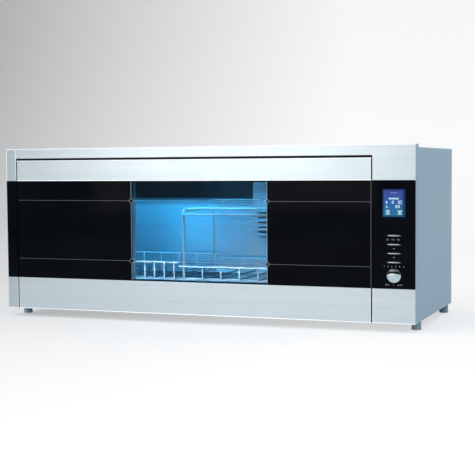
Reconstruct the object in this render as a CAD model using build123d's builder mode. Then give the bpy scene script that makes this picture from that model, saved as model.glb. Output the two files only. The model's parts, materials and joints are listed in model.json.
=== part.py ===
import os

from build123d import *

os.makedirs("parts", exist_ok=True)

# Overall body, in millimetres. X runs right, Y runs back, Z runs up from the worktop.
fascia_width = 900.0
fascia_height = 345.0
cabinet_depth = 373.0
foot_height = 18.0
wrap_inset = 1.0
wrap_drop = 5.6
wrap_bend = 3.0
rear_flange = 12.0

# Sheets, panes and moulded walls
trim_sheet = 1.0
case_sheet = 1.0
base_sheet = 1.2
frame_sheet = 1.2
chamber_sheet = 1.0
tray_sheet = 0.8
liner_sheet = 1.5
pane_thickness = 4.0
carrier_wall = 2.0
fold_share = 0.8
pane_edge = 0.5

# Clearances, and how far a cut runs past the piece it cuts
seat_clearance = 0.05
running_clearance = 0.05
weld_gap = 0.05
lens_clearance = 0.15
key_clearance = 0.3
cut_overrun = 1.0

# Fascia layout, heights counted from the underside of the body
band_base = 67.5
band_height = 208.5
left_trim_width = 24.5
column_width = 84.5
rail_height = 20.7
pull_gap = 4.5
seam_gap = 2.0
carrier_base = 40.0

# Door
door_depth = 20.0
window_width = 300.0
window_ledge = 3.0
seal_gap = 4.0
seal_clearance = 0.3
seal_offset = 2.0
seal_width = 6.0
seal_corner = 6.0
magnet_share = 0.6
strike_share = 0.3
magnet_length = 46.0
magnet_height = 6.0
magnet_rise = 2.0
magnet_spacing = 520.0

# Door hinge
hinge_setback = 6.5
hinge_rise = 8.0
pin_radius = 2.5
pin_hole_clearance = 0.6
pin_hole_sides = 12
bush_wall = 1.0
bush_gap_share = 0.2
bracket_gap = 1.0
bracket_thickness = 8.0
bracket_reach = 26.0
bracket_clearance = 0.5
bracket_flange = 11.0
bracket_flange_sheet = 2.0
hinge_block_length = 40.0
damper_length = 34.0
damper_engagement = 22.0

# Drying chamber
side_space = 36.0
bulkhead_space = 97.0
floor_rise = 38.0
ceiling_rise = 304.0
plenum_depth = 27.0
chamber_bend = 12.0
mouth_lip = 3.0
mouth_corner = 8.0
service_margin = 12.0

# Louvres
louvre_height = 4.0
louvre_pitch = 11.0
louvre_length = 64.0
louvre_rows = 6

# Rear duct cover inside the chamber
duct_left = 0.0
duct_width = 190.0
duct_depth = 18.0
duct_base = 24.0
duct_top_gap = 16.0
duct_wall = 1.2
duct_corner = 8.0
duct_slot_length = 70.0
duct_slot_rows = 7

# Control column
display_width = 43.5
display_height = 52.8
display_rise = 138.5
display_lens_depth = 2.0
key_width = 30.0
key_height = 5.2
key_rise = 51.0
key_pitch = 17.2
key_proud = 1.4
key_bevel = 1.1
lens_shares = (-1, -0.72, -0.4, 0, 0.4, 0.72, 1)
collar_share = 0.5
collar_lip = 1.0
collar_depth = 1.5
collar_room = 1.0
stem_size = 3.6
power_radius = 13.8
power_proud = 3.0
power_rim = 0.8
power_rise = 25.5
dome_flat_share = 0.35
dome_sides = 48
press_travel = 1.0
stop_clearance = 0.2
board_width = 70.0
board_sheet = 1.6
board_margin = 8.0
standoff_height = 4.0
standoff_size = 5.0
switch_size = 6.0
switch_height = 2.6

# Hot air fan and heater behind the control column
fan_size = 92.0
fan_depth = 25.0
fan_sides = 40
fan_bore_radius = 43.0
fan_rear_inset = 123.0
fan_rise = 175.0
fan_boss_radius = 16.0
fan_arm_width = 5.0
fan_arm_depth = 4.0
spindle_radius = 2.0
impeller_hub_radius = 17.0
impeller_wall = 2.0
impeller_boss_radius = 5.0
impeller_tip_gap = 1.5
impeller_end_gap = 0.5
impeller_front_gap = 4.0
blade_count = 7
blade_root_chord = 15.0
blade_tip_chord = 21.0
blade_thickness = 1.6
blade_pitch = 50.0
heater_depth = 30.0
heater_wall = 1.5
heater_core_depth = 14.0
heater_core_gap = 0.3
heater_fin_slot = 3.4
heater_fin_pitch = 9.6
heater_fin_columns = 8
heater_fin_length = 34.0
heater_fin_row_pitch = 41.0
cutout_width = 14.0
cutout_length = 20.0
cutout_height = 6.0
inlet_width = 76.0
inlet_slot = 5.0
inlet_pitch = 10.0
inlet_rows = 7

# Boards and ballast
power_board_length = 130.0
power_board_width = 76.0
power_board_setback = 60.0
power_standoff = 8.0
choke_length = 34.0
choke_width = 30.0
choke_height = 28.0
relay_size = 16.0
ballast_length = 150.0
ballast_width = 34.0
ballast_height = 22.0
ballast_setback = 210.0

# Germicidal lamp under the chamber ceiling
lamp_length = 288.0
lamp_radius = 7.8
lamp_cap_radius = 8.2
lamp_cap_length = 12.0
lamp_setback = 66.0
lamp_hang = 17.0
lamp_offset = -20.0
holder_thickness = 14.0
holder_width = 22.0
holder_drop = 10.0
reflector_front = 16.0
reflector_back = 14.0
reflector_skirt = 18.0
reflector_drop = 24.0
reflector_sheet = 1.0

# Racks, whose wires are drawn with flat sides
wire_sides = 8
rail_radius = 2.0
wire_radius = 1.5
frame_wire_radius = 2.5
rack_side_gap = 6.0
rack_setback = 70.0
rack_rear_gap = 34.0
rack_rise = 64.4
plate_fence_height = 37.6
bowl_fence_height = 29.2
divider_left = -78.0
plate_first_gap = 9.0
plate_pitch = 22.8
bowl_first_gap = 57.0
bowl_pitch = 41.5
mid_rail_inset = 36.0
shelf_rise = 210.5
shelf_bend = 8.0
shelf_right_gap = 24.0
shelf_wires = 7
shelf_edge_inset = 15.0
guard_rise = 12.0
guard_posts = 5
guard_inset = 30.0
support_width = 16.0
support_sheet = 2.0
support_height = 14.0

# Drip tray on the chamber floor
drip_side_gap = 14.0
drip_front_gap = 10.0
drip_rear_gap = 22.0
drip_height = 10.0
drip_wall = 1.2
drip_corner = 10.0

# Feet
foot_radius = 9.6
foot_side_inset = 11.5
foot_front_setback = 61.0
foot_rear_inset = 33.0

# Cord gland in the rear panel
gland_proud = 2.0
gland_flange_radius = 9.0
gland_flange_sides = 16
gland_neck_radius = 6.5
gland_bore_radius = 4.0
gland_inner_length = 4.0
gland_side_inset = 48.0
gland_rise = 46.0


def centre(span):
    return (span[0] + span[1]) / 2


def length(span):
    return span[1] - span[0]


def inset(span, amount):
    return (span[0] + amount, span[1] - amount)


def ordered(first, second):
    return (min(first, second), max(first, second))


# Sketch planes: one seen from the front at a depth, one from above, one from the right
def facing(y):
    return Plane.XZ.offset(-y)


def level(z):
    return Plane.XY.offset(z)


def across(x):
    return Plane.YZ.offset(x)


# A rectangle between two spans, drawn in the sketch that is open
def span_rectangle(first, second, mode=Mode.ADD):
    with Locations((centre(first), centre(second))):
        Rectangle(length(first), length(second), mode=mode)


# The section of a rack wire, with flats towards its neighbours
def wire_section(radius):
    RegularPolygon(radius, wire_sides, major_radius=False, rotation=180 / wire_sides)


# A slim lens: its edge rises as one minus the square of the share of the half width
def lens_outline(width, height):
    upper = [(width / 2 * share, height / 2 * (1 - share**2)) for share in lens_shares]
    lower = [(x, -y) for x, y in reversed(upper[1:-1])]
    with BuildSketch() as outline:
        with BuildLine():
            Polyline(*upper, *lower, close=True)
        make_face()
    return outline.sketch


def finish(piece, label):
    piece.part.label = label
    export_step(piece.part, "parts/" + label + ".step")


# Planes and spans that the pieces share
half_width = fascia_width / 2
front_y = -(cabinet_depth + gland_proud - power_proud) / 2
rear_y = front_y + cabinet_depth
fascia_depth = door_depth + seal_gap
frame_y = front_y + fascia_depth
frame_back = frame_y + frame_sheet
pane_back = front_y + pane_thickness
panel_front = rear_y - case_sheet
body_z = foot_height
fascia_top = body_z + fascia_height
wrap_top = fascia_top - wrap_drop
band_z = (body_z + band_base, body_z + band_base + band_height)
lower_z = (body_z, band_z[0])
upper_z = (band_z[1], fascia_top)
outer_x = (-half_width + wrap_inset, half_width - wrap_inset)
inner_x = inset(outer_x, case_sheet)
left_x = (-half_width, -half_width + left_trim_width)
column_x = (half_width - column_width, half_width)
door_x = (left_x[1] + seam_gap, column_x[0] - seam_gap)
door_z = (body_z, fascia_top - rail_height - pull_gap)
fold_radius = fold_share * trim_sheet
hinge_y = front_y + hinge_setback
hinge_z = body_z + hinge_rise
chamber_x = (-half_width + side_space, half_width - bulkhead_space)
chamber_z = (body_z + floor_rise, body_z + ceiling_rise)
chamber_rear = rear_y - plenum_depth
mouth_x = inset(chamber_x, mouth_lip)
mouth_z = inset(chamber_z, mouth_lip)
fan_y = rear_y - fan_rear_inset
fan_z = body_z + fan_rise
bulkhead_x = chamber_x[1] + chamber_sheet
fan_x = bulkhead_x + heater_depth
duct_x = (duct_left, duct_left + duct_width)
duct_z = (chamber_z[0] + duct_base, chamber_z[1] - duct_top_gap)
gland_x = half_width - gland_side_inset
gland_y = panel_front - gland_inner_length
gland_z = body_z + gland_rise

# Outer wrap: one folded sheet over both sides and the top, with a flange for the rear panel
with BuildPart() as outer_wrap:
    with BuildSketch(facing(frame_y)) as wrap_section:
        span_rectangle(outer_x, (body_z, wrap_top))
        fillet(wrap_section.vertices().group_by(Axis.Y)[-1], wrap_bend)
        with BuildSketch(mode=Mode.SUBTRACT) as wrap_hollow:
            span_rectangle(inner_x, (body_z - cut_overrun, wrap_top - case_sheet))
            fillet(wrap_hollow.vertices().group_by(Axis.Y)[-1], wrap_bend - case_sheet)
    extrude(amount=frame_y - panel_front)
    with BuildSketch(facing(panel_front - case_sheet)):
        span_rectangle(inner_x, (body_z + base_sheet, wrap_top - case_sheet))
        span_rectangle(
            inset(inner_x, rear_flange),
            (body_z, wrap_top - case_sheet - rear_flange),
            mode=Mode.SUBTRACT,
        )
    extrude(amount=-case_sheet)
finish(outer_wrap, "outer_wrap")

# Base plate with the inlet louvres under the fan, and the round feet
foot_places = [
    (side * (half_width - foot_side_inset), depth)
    for side in (-1, 1)
    for depth in (front_y + foot_front_setback, rear_y - foot_rear_inset)
]

with BuildPart() as base_plate:
    with BuildSketch(level(body_z)):
        span_rectangle(inner_x, (frame_back, panel_front))
        with Locations((fan_x + fan_depth / 2, fan_y)):
            with GridLocations(0, louvre_pitch, 1, louvre_rows):
                Rectangle(louvre_length, louvre_height, mode=Mode.SUBTRACT)
    extrude(amount=base_sheet)
finish(base_plate, "base_plate")

with BuildPart() as feet:
    with BuildSketch(level(0)):
        with Locations(*foot_places):
            Circle(foot_radius)
    extrude(amount=foot_height)
finish(feet, "feet")

# Rear panel with its outlet louvres behind the duct and its inlet louvres behind the fan
with BuildPart() as rear_panel:
    with BuildSketch(facing(panel_front)):
        span_rectangle(outer_x, (body_z, wrap_top))
        with Locations((centre(duct_x), centre(duct_z)), (fan_x + fan_depth / 2, fan_z)):
            with GridLocations(0, louvre_pitch, 1, louvre_rows):
                Rectangle(louvre_length, louvre_height, mode=Mode.SUBTRACT)
        with Locations((gland_x, gland_z)):
            Circle(gland_neck_radius + seat_clearance, mode=Mode.SUBTRACT)
    extrude(amount=-case_sheet)
finish(rear_panel, "rear_panel")

# Cord gland: a moulded ring pushed through the rear panel, with its flange outside
with BuildPart() as cord_gland:
    with BuildSketch(facing(gland_y)):
        with Locations((gland_x, gland_z)):
            Circle(gland_neck_radius)
    extrude(amount=gland_y - rear_y)
    with BuildSketch(facing(rear_y)):
        with Locations((gland_x, gland_z)):
            RegularPolygon(gland_flange_radius, gland_flange_sides)
    extrude(amount=-gland_proud)
    with BuildSketch(facing(gland_y)):
        with Locations((gland_x, gland_z)):
            Circle(gland_bore_radius)
    extrude(amount=gland_y - rear_y - gland_proud, mode=Mode.SUBTRACT)
finish(cord_gland, "cord_gland")

# Front frame: the plate that the fascia, the hinges and the chamber are fixed to
with BuildPart() as front_frame:
    with BuildSketch(facing(frame_y)) as frame_face:
        span_rectangle(inner_x, (body_z, wrap_top - case_sheet))
        fillet(frame_face.vertices().group_by(Axis.Y)[-1], wrap_bend - case_sheet)
        with Locations((centre(mouth_x), centre(mouth_z))):
            RectangleRounded(length(mouth_x), length(mouth_z), mouth_corner, mode=Mode.SUBTRACT)
        span_rectangle(inset(column_x, service_margin), inset(band_z, service_margin), mode=Mode.SUBTRACT)
    extrude(amount=-frame_sheet)
finish(front_frame, "front_frame")

# Drying chamber: floor, rear wall and ceiling from one bent sheet, with flat end walls
with BuildPart() as chamber_wrap:
    with BuildSketch(across(chamber_x[0])) as chamber_section:
        span_rectangle((frame_back, chamber_rear + chamber_sheet), inset(chamber_z, -chamber_sheet))
        fillet(chamber_section.vertices().group_by(Axis.X)[-1], chamber_bend + chamber_sheet)
        with BuildSketch(mode=Mode.SUBTRACT) as chamber_hollow:
            span_rectangle((frame_back - cut_overrun, chamber_rear), chamber_z)
            fillet(chamber_hollow.vertices().group_by(Axis.X)[-1], chamber_bend)
    extrude(amount=length(chamber_x))
    with BuildSketch(facing(chamber_rear)):
        with Locations((centre(duct_x), centre(duct_z))):
            with GridLocations(0, louvre_pitch, 1, louvre_rows):
                Rectangle(louvre_length, louvre_height)
    extrude(amount=-chamber_sheet, mode=Mode.SUBTRACT)
finish(chamber_wrap, "chamber_wrap")

end_wall_y = (frame_back, chamber_rear + chamber_sheet)
end_wall_z = inset(chamber_z, -chamber_sheet)

with BuildPart() as chamber_left_wall:
    with BuildSketch(across(chamber_x[0] - chamber_sheet)):
        span_rectangle(end_wall_y, end_wall_z)
    extrude(amount=chamber_sheet)
finish(chamber_left_wall, "chamber_left_wall")

with BuildPart() as chamber_right_wall:
    with BuildSketch(across(chamber_x[1])):
        span_rectangle(end_wall_y, end_wall_z)
        with Locations((fan_y, fan_z)):
            with GridLocations(0, inlet_pitch, 1, inlet_rows):
                Rectangle(inlet_width, inlet_slot, mode=Mode.SUBTRACT)
    extrude(amount=chamber_sheet)
finish(chamber_right_wall, "chamber_right_wall")

# Duct cover on the rear wall: a shallow pressed box with two columns of slots
with BuildPart() as duct_cover:
    with BuildSketch(facing(chamber_rear - duct_depth)):
        with Locations((centre(duct_x), centre(duct_z))):
            RectangleRounded(length(duct_x), length(duct_z), duct_corner)
    extrude(amount=-duct_depth)
    offset(amount=-duct_wall, openings=duct_cover.faces().sort_by(Axis.Y)[-1])
    with BuildSketch(facing(chamber_rear - duct_depth)):
        with Locations((centre(duct_x), centre(duct_z))):
            with GridLocations(duct_width / 2, louvre_pitch, 2, duct_slot_rows):
                Rectangle(duct_slot_length, louvre_height)
    extrude(amount=-duct_wall, mode=Mode.SUBTRACT)
finish(duct_cover, "duct_cover")


# Folded stainless cover: a shallow box open at the back, cut short where it meets a pane
def folded_cover(x_span, z_span, depth, pane_side):
    pane_edge_z = (z_span[0], z_span[0] + trim_sheet)
    if pane_side > 0:
        pane_edge_z = (z_span[1] - trim_sheet, z_span[1])
    with BuildPart() as cover:
        with BuildSketch(facing(front_y)):
            span_rectangle(x_span, z_span)
        extrude(amount=-depth)
        fillet(cover.faces().sort_by(Axis.Y)[0].edges(), fold_radius)
        with BuildSketch(facing(front_y + trim_sheet)):
            span_rectangle(inset(x_span, trim_sheet), inset(z_span, trim_sheet))
        extrude(amount=-depth, mode=Mode.SUBTRACT)
        with BuildSketch(facing(pane_back)):
            span_rectangle(inset(x_span, trim_sheet), pane_edge_z)
        extrude(amount=-depth, mode=Mode.SUBTRACT)
    return cover


# A round hole along X, cut through a folded cover's side where the hinge pin passes
def pin_passage(side_x):
    with BuildPart() as passage:
        with BuildSketch(across(side_x - trim_sheet)):
            with Locations((hinge_y, hinge_z)):
                RegularPolygon(pin_radius + pin_hole_clearance, pin_hole_sides, major_radius=False)
        extrude(amount=trim_sheet + trim_sheet)
    return passage.part


left_trim_upper = folded_cover(left_x, upper_z, fascia_depth, -1)
finish(left_trim_upper, "left_trim_upper")

left_lower_blank = folded_cover(left_x, lower_z, fascia_depth, 1)
left_passage = pin_passage(left_x[1])
with BuildPart() as left_trim_lower:
    add(left_lower_blank.part)
    add(left_passage, mode=Mode.SUBTRACT)
finish(left_trim_lower, "left_trim_lower")

column_upper = folded_cover(column_x, upper_z, fascia_depth, -1)
finish(column_upper, "column_upper")

column_lower_blank = folded_cover(column_x, lower_z, fascia_depth, 1)
column_passage = pin_passage(column_x[0])
with BuildPart() as column_lower:
    add(column_lower_blank.part)
    add(column_passage, mode=Mode.SUBTRACT)
finish(column_lower, "column_lower")

# Top rail between the trims: a channel open at the back
with BuildPart() as top_rail:
    with BuildSketch(facing(front_y)):
        span_rectangle((left_x[1], column_x[0]), (fascia_top - rail_height, fascia_top))
    extrude(amount=-fascia_depth)
    fillet(top_rail.faces().sort_by(Axis.Y)[0].edges().filter_by(Axis.X), fold_radius)
    with BuildSketch(facing(front_y + trim_sheet)):
        span_rectangle(
            (left_x[1], column_x[0]),
            (fascia_top - rail_height + trim_sheet, fascia_top - trim_sheet),
        )
    extrude(amount=-fascia_depth, mode=Mode.SUBTRACT)
finish(top_rail, "top_rail")

# Black insert and moulded carrier of the left trim
with BuildPart() as left_trim_band:
    with BuildSketch(facing(front_y)):
        span_rectangle(left_x, band_z)
    extrude(amount=-pane_thickness)
    chamfer(left_trim_band.faces().sort_by(Axis.Y)[0].edges(), pane_edge)
finish(left_trim_band, "left_trim_band")

carrier_z = (body_z + carrier_base, fascia_top - trim_sheet)

with BuildPart() as left_trim_carrier:
    with BuildSketch(facing(pane_back)):
        span_rectangle(inset(left_x, trim_sheet), carrier_z)
    extrude(amount=pane_back - frame_y)
    offset(amount=-carrier_wall, openings=left_trim_carrier.faces().sort_by(Axis.Y)[-1])
finish(left_trim_carrier, "left_trim_carrier")

# Control column: pane, carrier, display, keys and the board behind them
column_mid = centre(column_x)
display_z = (band_z[0] + display_rise, band_z[0] + display_rise + display_height)
display_x = (column_mid - display_width / 2, column_mid + display_width / 2)
power_z = band_z[0] + power_rise
key_names = ("mode_key", "down_key", "up_key", "timer_key")
key_heights = [band_z[0] + key_rise + key_pitch * number for number in range(len(key_names))]
key_places = [(column_mid, height) for height in key_heights]
power_place = (column_mid, power_z)
collar_y = pane_back + collar_depth
board_y = pane_back + carrier_wall + standoff_height
switch_y = board_y - switch_height
stem_y = switch_y - press_travel - stop_clearance
collar_width = key_width * collar_share
collar_height = key_height + collar_lip + collar_lip
power_collar = power_radius + collar_lip
key_slot = lens_outline(key_width + key_clearance + key_clearance, key_height + key_clearance)
key_face = lens_outline(key_width, key_height)

with BuildPart() as control_panel:
    with BuildSketch(facing(front_y)):
        span_rectangle(column_x, band_z)
        span_rectangle(
            inset(display_x, -lens_clearance), inset(display_z, -lens_clearance), mode=Mode.SUBTRACT
        )
        with Locations(*key_places):
            add(key_slot, mode=Mode.SUBTRACT)
        with Locations(power_place):
            Circle(power_radius + key_clearance, mode=Mode.SUBTRACT)
    extrude(amount=-pane_thickness)
finish(control_panel, "control_panel")

board_x = (column_mid - board_width / 2, column_mid + board_width / 2)
board_z = (power_z - power_radius - board_margin, display_z[1] + board_margin)
standoff_places = [
    (x, z)
    for x in inset(board_x, standoff_size / 2)
    for z in inset(board_z, standoff_size / 2)
]

with BuildPart() as column_carrier:
    with BuildSketch(facing(pane_back)):
        span_rectangle(inset(column_x, trim_sheet), carrier_z)
    extrude(amount=pane_back - frame_y)
    offset(amount=-carrier_wall, openings=column_carrier.faces().sort_by(Axis.Y)[-1])
    with BuildSketch(facing(pane_back)):
        span_rectangle(inset(display_x, -collar_room), inset(display_z, -collar_room))
        with Locations(*key_places):
            Rectangle(key_width + collar_room + collar_room, collar_height + collar_room)
        with Locations(power_place):
            Circle(power_collar + collar_room)
    extrude(amount=-carrier_wall, mode=Mode.SUBTRACT)
    with BuildSketch(facing(pane_back + carrier_wall)):
        with Locations(*standoff_places):
            Rectangle(standoff_size, standoff_size)
    extrude(amount=-standoff_height)
finish(column_carrier, "column_carrier")

with BuildPart() as display_lens:
    with BuildSketch(facing(front_y)):
        span_rectangle(display_x, display_z)
    extrude(amount=-display_lens_depth)
finish(display_lens, "display_lens")

with BuildPart() as display_module:
    with BuildSketch(facing(front_y + display_lens_depth)):
        span_rectangle(display_x, display_z)
    extrude(amount=front_y + display_lens_depth - board_y)
finish(display_module, "display_module")

with BuildPart() as control_board:
    with BuildSketch(facing(board_y)):
        span_rectangle(board_x, board_z)
    extrude(amount=-board_sheet)
finish(control_board, "control_board")

with BuildPart() as key_switches:
    with BuildSketch(facing(switch_y)):
        with Locations(*key_places, power_place):
            Rectangle(switch_size, switch_size)
    extrude(amount=-switch_height)
finish(key_switches, "key_switches")

# Slim keys: a bevelled crown, a shank through the pane, a square collar behind it and a stem
for key_name, key_place in zip(key_names, key_places):
    with BuildPart() as key:
        with BuildSketch(facing(front_y - key_proud)):
            with Locations(key_place):
                add(key_face)
        extrude(amount=-key_proud - pane_thickness)
        chamfer(key.faces().sort_by(Axis.Y)[0].edges(), key_bevel)
        with BuildSketch(facing(pane_back)):
            with Locations(key_place):
                Rectangle(collar_width, collar_height)
        extrude(amount=-collar_depth)
        with BuildSketch(facing(collar_y)):
            with Locations(key_place):
                Rectangle(stem_size, stem_size)
        extrude(amount=collar_y - stem_y)
    finish(key, key_name)

# Round power button: a low dome of flat facets, with two ears behind the pane and a stem
with BuildPart() as power_button:
    with BuildSketch(facing(front_y - power_proud)):
        with Locations(power_place):
            RegularPolygon(power_radius, dome_sides)
    extrude(amount=-power_proud - pane_thickness)
    dome_face = power_button.faces().sort_by(Axis.Y)[0]
    dome_slope = power_radius * (1 - dome_flat_share)
    chamfer(dome_face.edges(), dome_slope, power_proud - power_rim, reference=dome_face)
    with BuildSketch(facing(pane_back)):
        with Locations(power_place):
            Rectangle(power_collar + power_collar, collar_height)
    extrude(amount=-collar_depth)
    with BuildSketch(facing(collar_y)):
        with Locations(power_place):
            Rectangle(stem_size, stem_size)
    extrude(amount=collar_y - stem_y)
finish(power_button, "power_button")

# Door: pane, folded strips, tray, liner with its window frame, and seal
tray_back = front_y + door_depth - liner_sheet
tray_x = inset(door_x, trim_sheet)
pocket_top = hinge_z + hinge_rise
tray_z = (pocket_top, door_z[1] - trim_sheet)
window_x = (-window_width / 2, window_width / 2)
window_z = inset(band_z, window_ledge)
door_back = front_y + door_depth

with BuildPart() as door_glass:
    with BuildSketch(facing(front_y)):
        span_rectangle(door_x, band_z)
    extrude(amount=-pane_thickness)
    chamfer(door_glass.faces().sort_by(Axis.Y)[0].edges(), pane_edge)
finish(door_glass, "door_glass")

door_top_strip = folded_cover(door_x, (band_z[1], door_z[1]), tray_back - front_y, -1)
finish(door_top_strip, "door_top_strip")

strip_blank = folded_cover(door_x, (door_z[0], band_z[0]), tray_back - front_y, 1)
strip_passages = [pin_passage(side_x) for side_x in door_x]
with BuildPart() as door_bottom_strip:
    add(strip_blank.part)
    add(strip_passages, mode=Mode.SUBTRACT)
finish(door_bottom_strip, "door_bottom_strip")

with BuildPart() as door_tray:
    with BuildSketch(facing(pane_back)):
        span_rectangle(tray_x, tray_z)
    extrude(amount=pane_back - tray_back)
    offset(amount=-tray_sheet, openings=door_tray.faces().sort_by(Axis.Y)[-1])
    with BuildSketch(facing(pane_back)):
        span_rectangle(window_x, window_z)
    extrude(amount=-tray_sheet, mode=Mode.SUBTRACT)
finish(door_tray, "door_tray")

with BuildPart() as door_liner:
    with BuildSketch(facing(tray_back)):
        span_rectangle(door_x, door_z)
    extrude(amount=-liner_sheet)
    with BuildSketch(facing(pane_back + tray_sheet)):
        span_rectangle(inset(window_x, -liner_sheet), inset(window_z, -liner_sheet))
    extrude(amount=pane_back + tray_sheet - tray_back)
    with BuildSketch(facing(pane_back + tray_sheet)):
        span_rectangle(window_x, window_z)
    extrude(amount=pane_back + tray_sheet - door_back, mode=Mode.SUBTRACT)
finish(door_liner, "door_liner")

seal_x = inset(mouth_x, -seal_offset)
seal_z = inset(mouth_z, -seal_offset)

with BuildPart() as door_seal:
    with BuildSketch(facing(door_back)):
        with Locations((centre(seal_x), centre(seal_z))):
            RectangleRounded(
                length(seal_x) + seal_width + seal_width,
                length(seal_z) + seal_width + seal_width,
                seal_corner + seal_width,
            )
            RectangleRounded(length(seal_x), length(seal_z), seal_corner, mode=Mode.SUBTRACT)
    extrude(amount=seal_clearance - seal_gap)
finish(door_seal, "door_seal")

# Magnetic catches on the frame above the mouth, and their strike plates on the door
magnet_z = seal_z[1] + seal_width + magnet_rise + magnet_height / 2
magnet_places = [
    (centre(door_x) + side * magnet_spacing / 2, magnet_z) for side in (-1, 1)
]

with BuildPart() as magnet_catches:
    with BuildSketch(facing(frame_y)):
        with Locations(*magnet_places):
            Rectangle(magnet_length, magnet_height)
    extrude(amount=seal_gap * magnet_share)
finish(magnet_catches, "magnet_catches")

with BuildPart() as strike_plates:
    with BuildSketch(facing(door_back)):
        with Locations(*magnet_places):
            Rectangle(magnet_length, magnet_height)
    extrude(amount=-seal_gap * strike_share)
finish(strike_plates, "strike_plates")

# Hinge: blocks and pins in the door, bushes and brackets on the frame, a damper on the right
bush_radius = pin_radius + running_clearance + bush_wall
nose_radius = hinge_setback - trim_sheet - bracket_clearance
hinge_place = (hinge_y, hinge_z)
hinge_sides = ((door_x[0], -1), (door_x[1], 1))

with BuildPart() as hinge_blocks:
    for edge_x, outward in hinge_sides:
        block_out = edge_x - outward * trim_sheet
        with BuildSketch(across(block_out)):
            span_rectangle(
                (front_y + trim_sheet, tray_back), (body_z + trim_sheet, pocket_top)
            )
            with Locations(hinge_place):
                Circle(pin_radius + seat_clearance, mode=Mode.SUBTRACT)
        extrude(amount=-outward * hinge_block_length)
finish(hinge_blocks, "hinge_blocks")

with BuildPart() as hinge_pins:
    for edge_x, outward in hinge_sides:
        pin_in = edge_x - outward * (trim_sheet + hinge_block_length)
        bracket_out = edge_x + outward * (seam_gap + trim_sheet + bracket_gap + bracket_thickness)
        pin_out = bracket_out
        if outward > 0:
            pin_out = bracket_out + damper_engagement
        with BuildSketch(across(pin_in)):
            with Locations(hinge_place):
                Circle(pin_radius)
        extrude(amount=pin_out - pin_in)
finish(hinge_pins, "hinge_pins")

with BuildPart() as hinge_bushes:
    for edge_x, outward in hinge_sides:
        bush_in = edge_x + outward * (seam_gap + trim_sheet + bracket_gap * bush_gap_share)
        bush_out = edge_x + outward * (seam_gap + trim_sheet + bracket_gap + bracket_thickness)
        with BuildSketch(across(bush_in)):
            with Locations(hinge_place):
                Circle(bush_radius)
                Circle(pin_radius + running_clearance, mode=Mode.SUBTRACT)
        extrude(amount=bush_out - bush_in)
finish(hinge_bushes, "hinge_bushes")

with BuildPart() as hinge_brackets:
    for edge_x, outward in hinge_sides:
        web_in = edge_x + outward * (seam_gap + trim_sheet + bracket_gap)
        web_out = web_in + outward * bracket_thickness
        web_z = (hinge_z - nose_radius, hinge_z + bracket_reach)
        with BuildSketch(across(web_in)):
            span_rectangle((hinge_y, frame_y), web_z)
            with Locations(hinge_place):
                Circle(nose_radius)
            with Locations(hinge_place):
                Circle(bush_radius + seat_clearance, mode=Mode.SUBTRACT)
        extrude(amount=outward * bracket_thickness)
        with BuildSketch(facing(frame_y)):
            span_rectangle(ordered(web_in, web_out + outward * bracket_flange), web_z)
        extrude(amount=bracket_flange_sheet)
finish(hinge_brackets, "hinge_brackets")

damper_x = door_x[1] + seam_gap + trim_sheet + bracket_gap + bracket_thickness

with BuildPart() as door_damper:
    with BuildSketch(across(damper_x)):
        with Locations(hinge_place):
            Circle(nose_radius)
    extrude(amount=damper_length)
    with BuildSketch(across(damper_x)):
        with Locations(hinge_place):
            Circle(pin_radius + running_clearance)
    extrude(amount=damper_engagement + cut_overrun, mode=Mode.SUBTRACT)
finish(door_damper, "door_damper")

# Heater: a square duct against the bulkhead, with a finned core and a thermal cut-out
fan_span_y = (fan_y - fan_size / 2, fan_y + fan_size / 2)
fan_span_z = (fan_z - fan_size / 2, fan_z + fan_size / 2)
core_size = fan_size - (heater_wall + heater_core_gap) - (heater_wall + heater_core_gap)

with BuildPart() as heater_housing:
    with BuildSketch(across(bulkhead_x)):
        span_rectangle(fan_span_y, fan_span_z)
        span_rectangle(inset(fan_span_y, heater_wall), inset(fan_span_z, heater_wall), mode=Mode.SUBTRACT)
    extrude(amount=heater_depth)
finish(heater_housing, "heater_housing")

with BuildPart() as heater_core:
    with BuildSketch(across(bulkhead_x + (heater_depth - heater_core_depth) / 2)):
        with Locations((fan_y, fan_z)):
            Rectangle(core_size, core_size)
            with GridLocations(heater_fin_pitch, heater_fin_row_pitch, heater_fin_columns, 2):
                Rectangle(heater_fin_slot, heater_fin_length, mode=Mode.SUBTRACT)
    extrude(amount=heater_core_depth)
finish(heater_core, "heater_core")

with BuildPart() as thermal_cutout:
    with BuildSketch(level(fan_span_z[1])):
        with Locations((bulkhead_x + heater_depth / 2, fan_y)):
            Rectangle(cutout_width, cutout_length)
    extrude(amount=cutout_height)
finish(thermal_cutout, "thermal_cutout")

# Fan: a square frame with a bearing boss on crossed arms, a spindle and a bladed impeller
fan_end = fan_x + fan_depth
fan_axis = Axis((0, fan_y, fan_z), (1, 0, 0))
arm_x = fan_end - fan_arm_depth

with BuildPart() as fan_frame:
    with BuildSketch(across(fan_x)):
        with Locations((fan_y, fan_z)):
            Rectangle(fan_size, fan_size)
            RegularPolygon(fan_bore_radius, fan_sides, mode=Mode.SUBTRACT)
    extrude(amount=fan_depth)
    with BuildSketch(across(arm_x)):
        with Locations((fan_y, fan_z)):
            RegularPolygon(fan_boss_radius, fan_sides)
            Rectangle(fan_bore_radius + fan_bore_radius + fan_arm_width, fan_arm_width)
            Rectangle(fan_arm_width, fan_bore_radius + fan_bore_radius + fan_arm_width)
            Circle(spindle_radius + seat_clearance, mode=Mode.SUBTRACT)
    extrude(amount=fan_arm_depth)
finish(fan_frame, "fan_frame")

hub_x = (fan_x + impeller_front_gap, arm_x - impeller_end_gap)

with BuildPart() as fan_spindle:
    with BuildSketch(across(hub_x[0])):
        with Locations((fan_y, fan_z)):
            Circle(spindle_radius)
    extrude(amount=fan_end - hub_x[0])
finish(fan_spindle, "fan_spindle")

blade_root = impeller_hub_radius - impeller_wall / 2
blade_tip = fan_bore_radius - impeller_tip_gap

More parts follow.
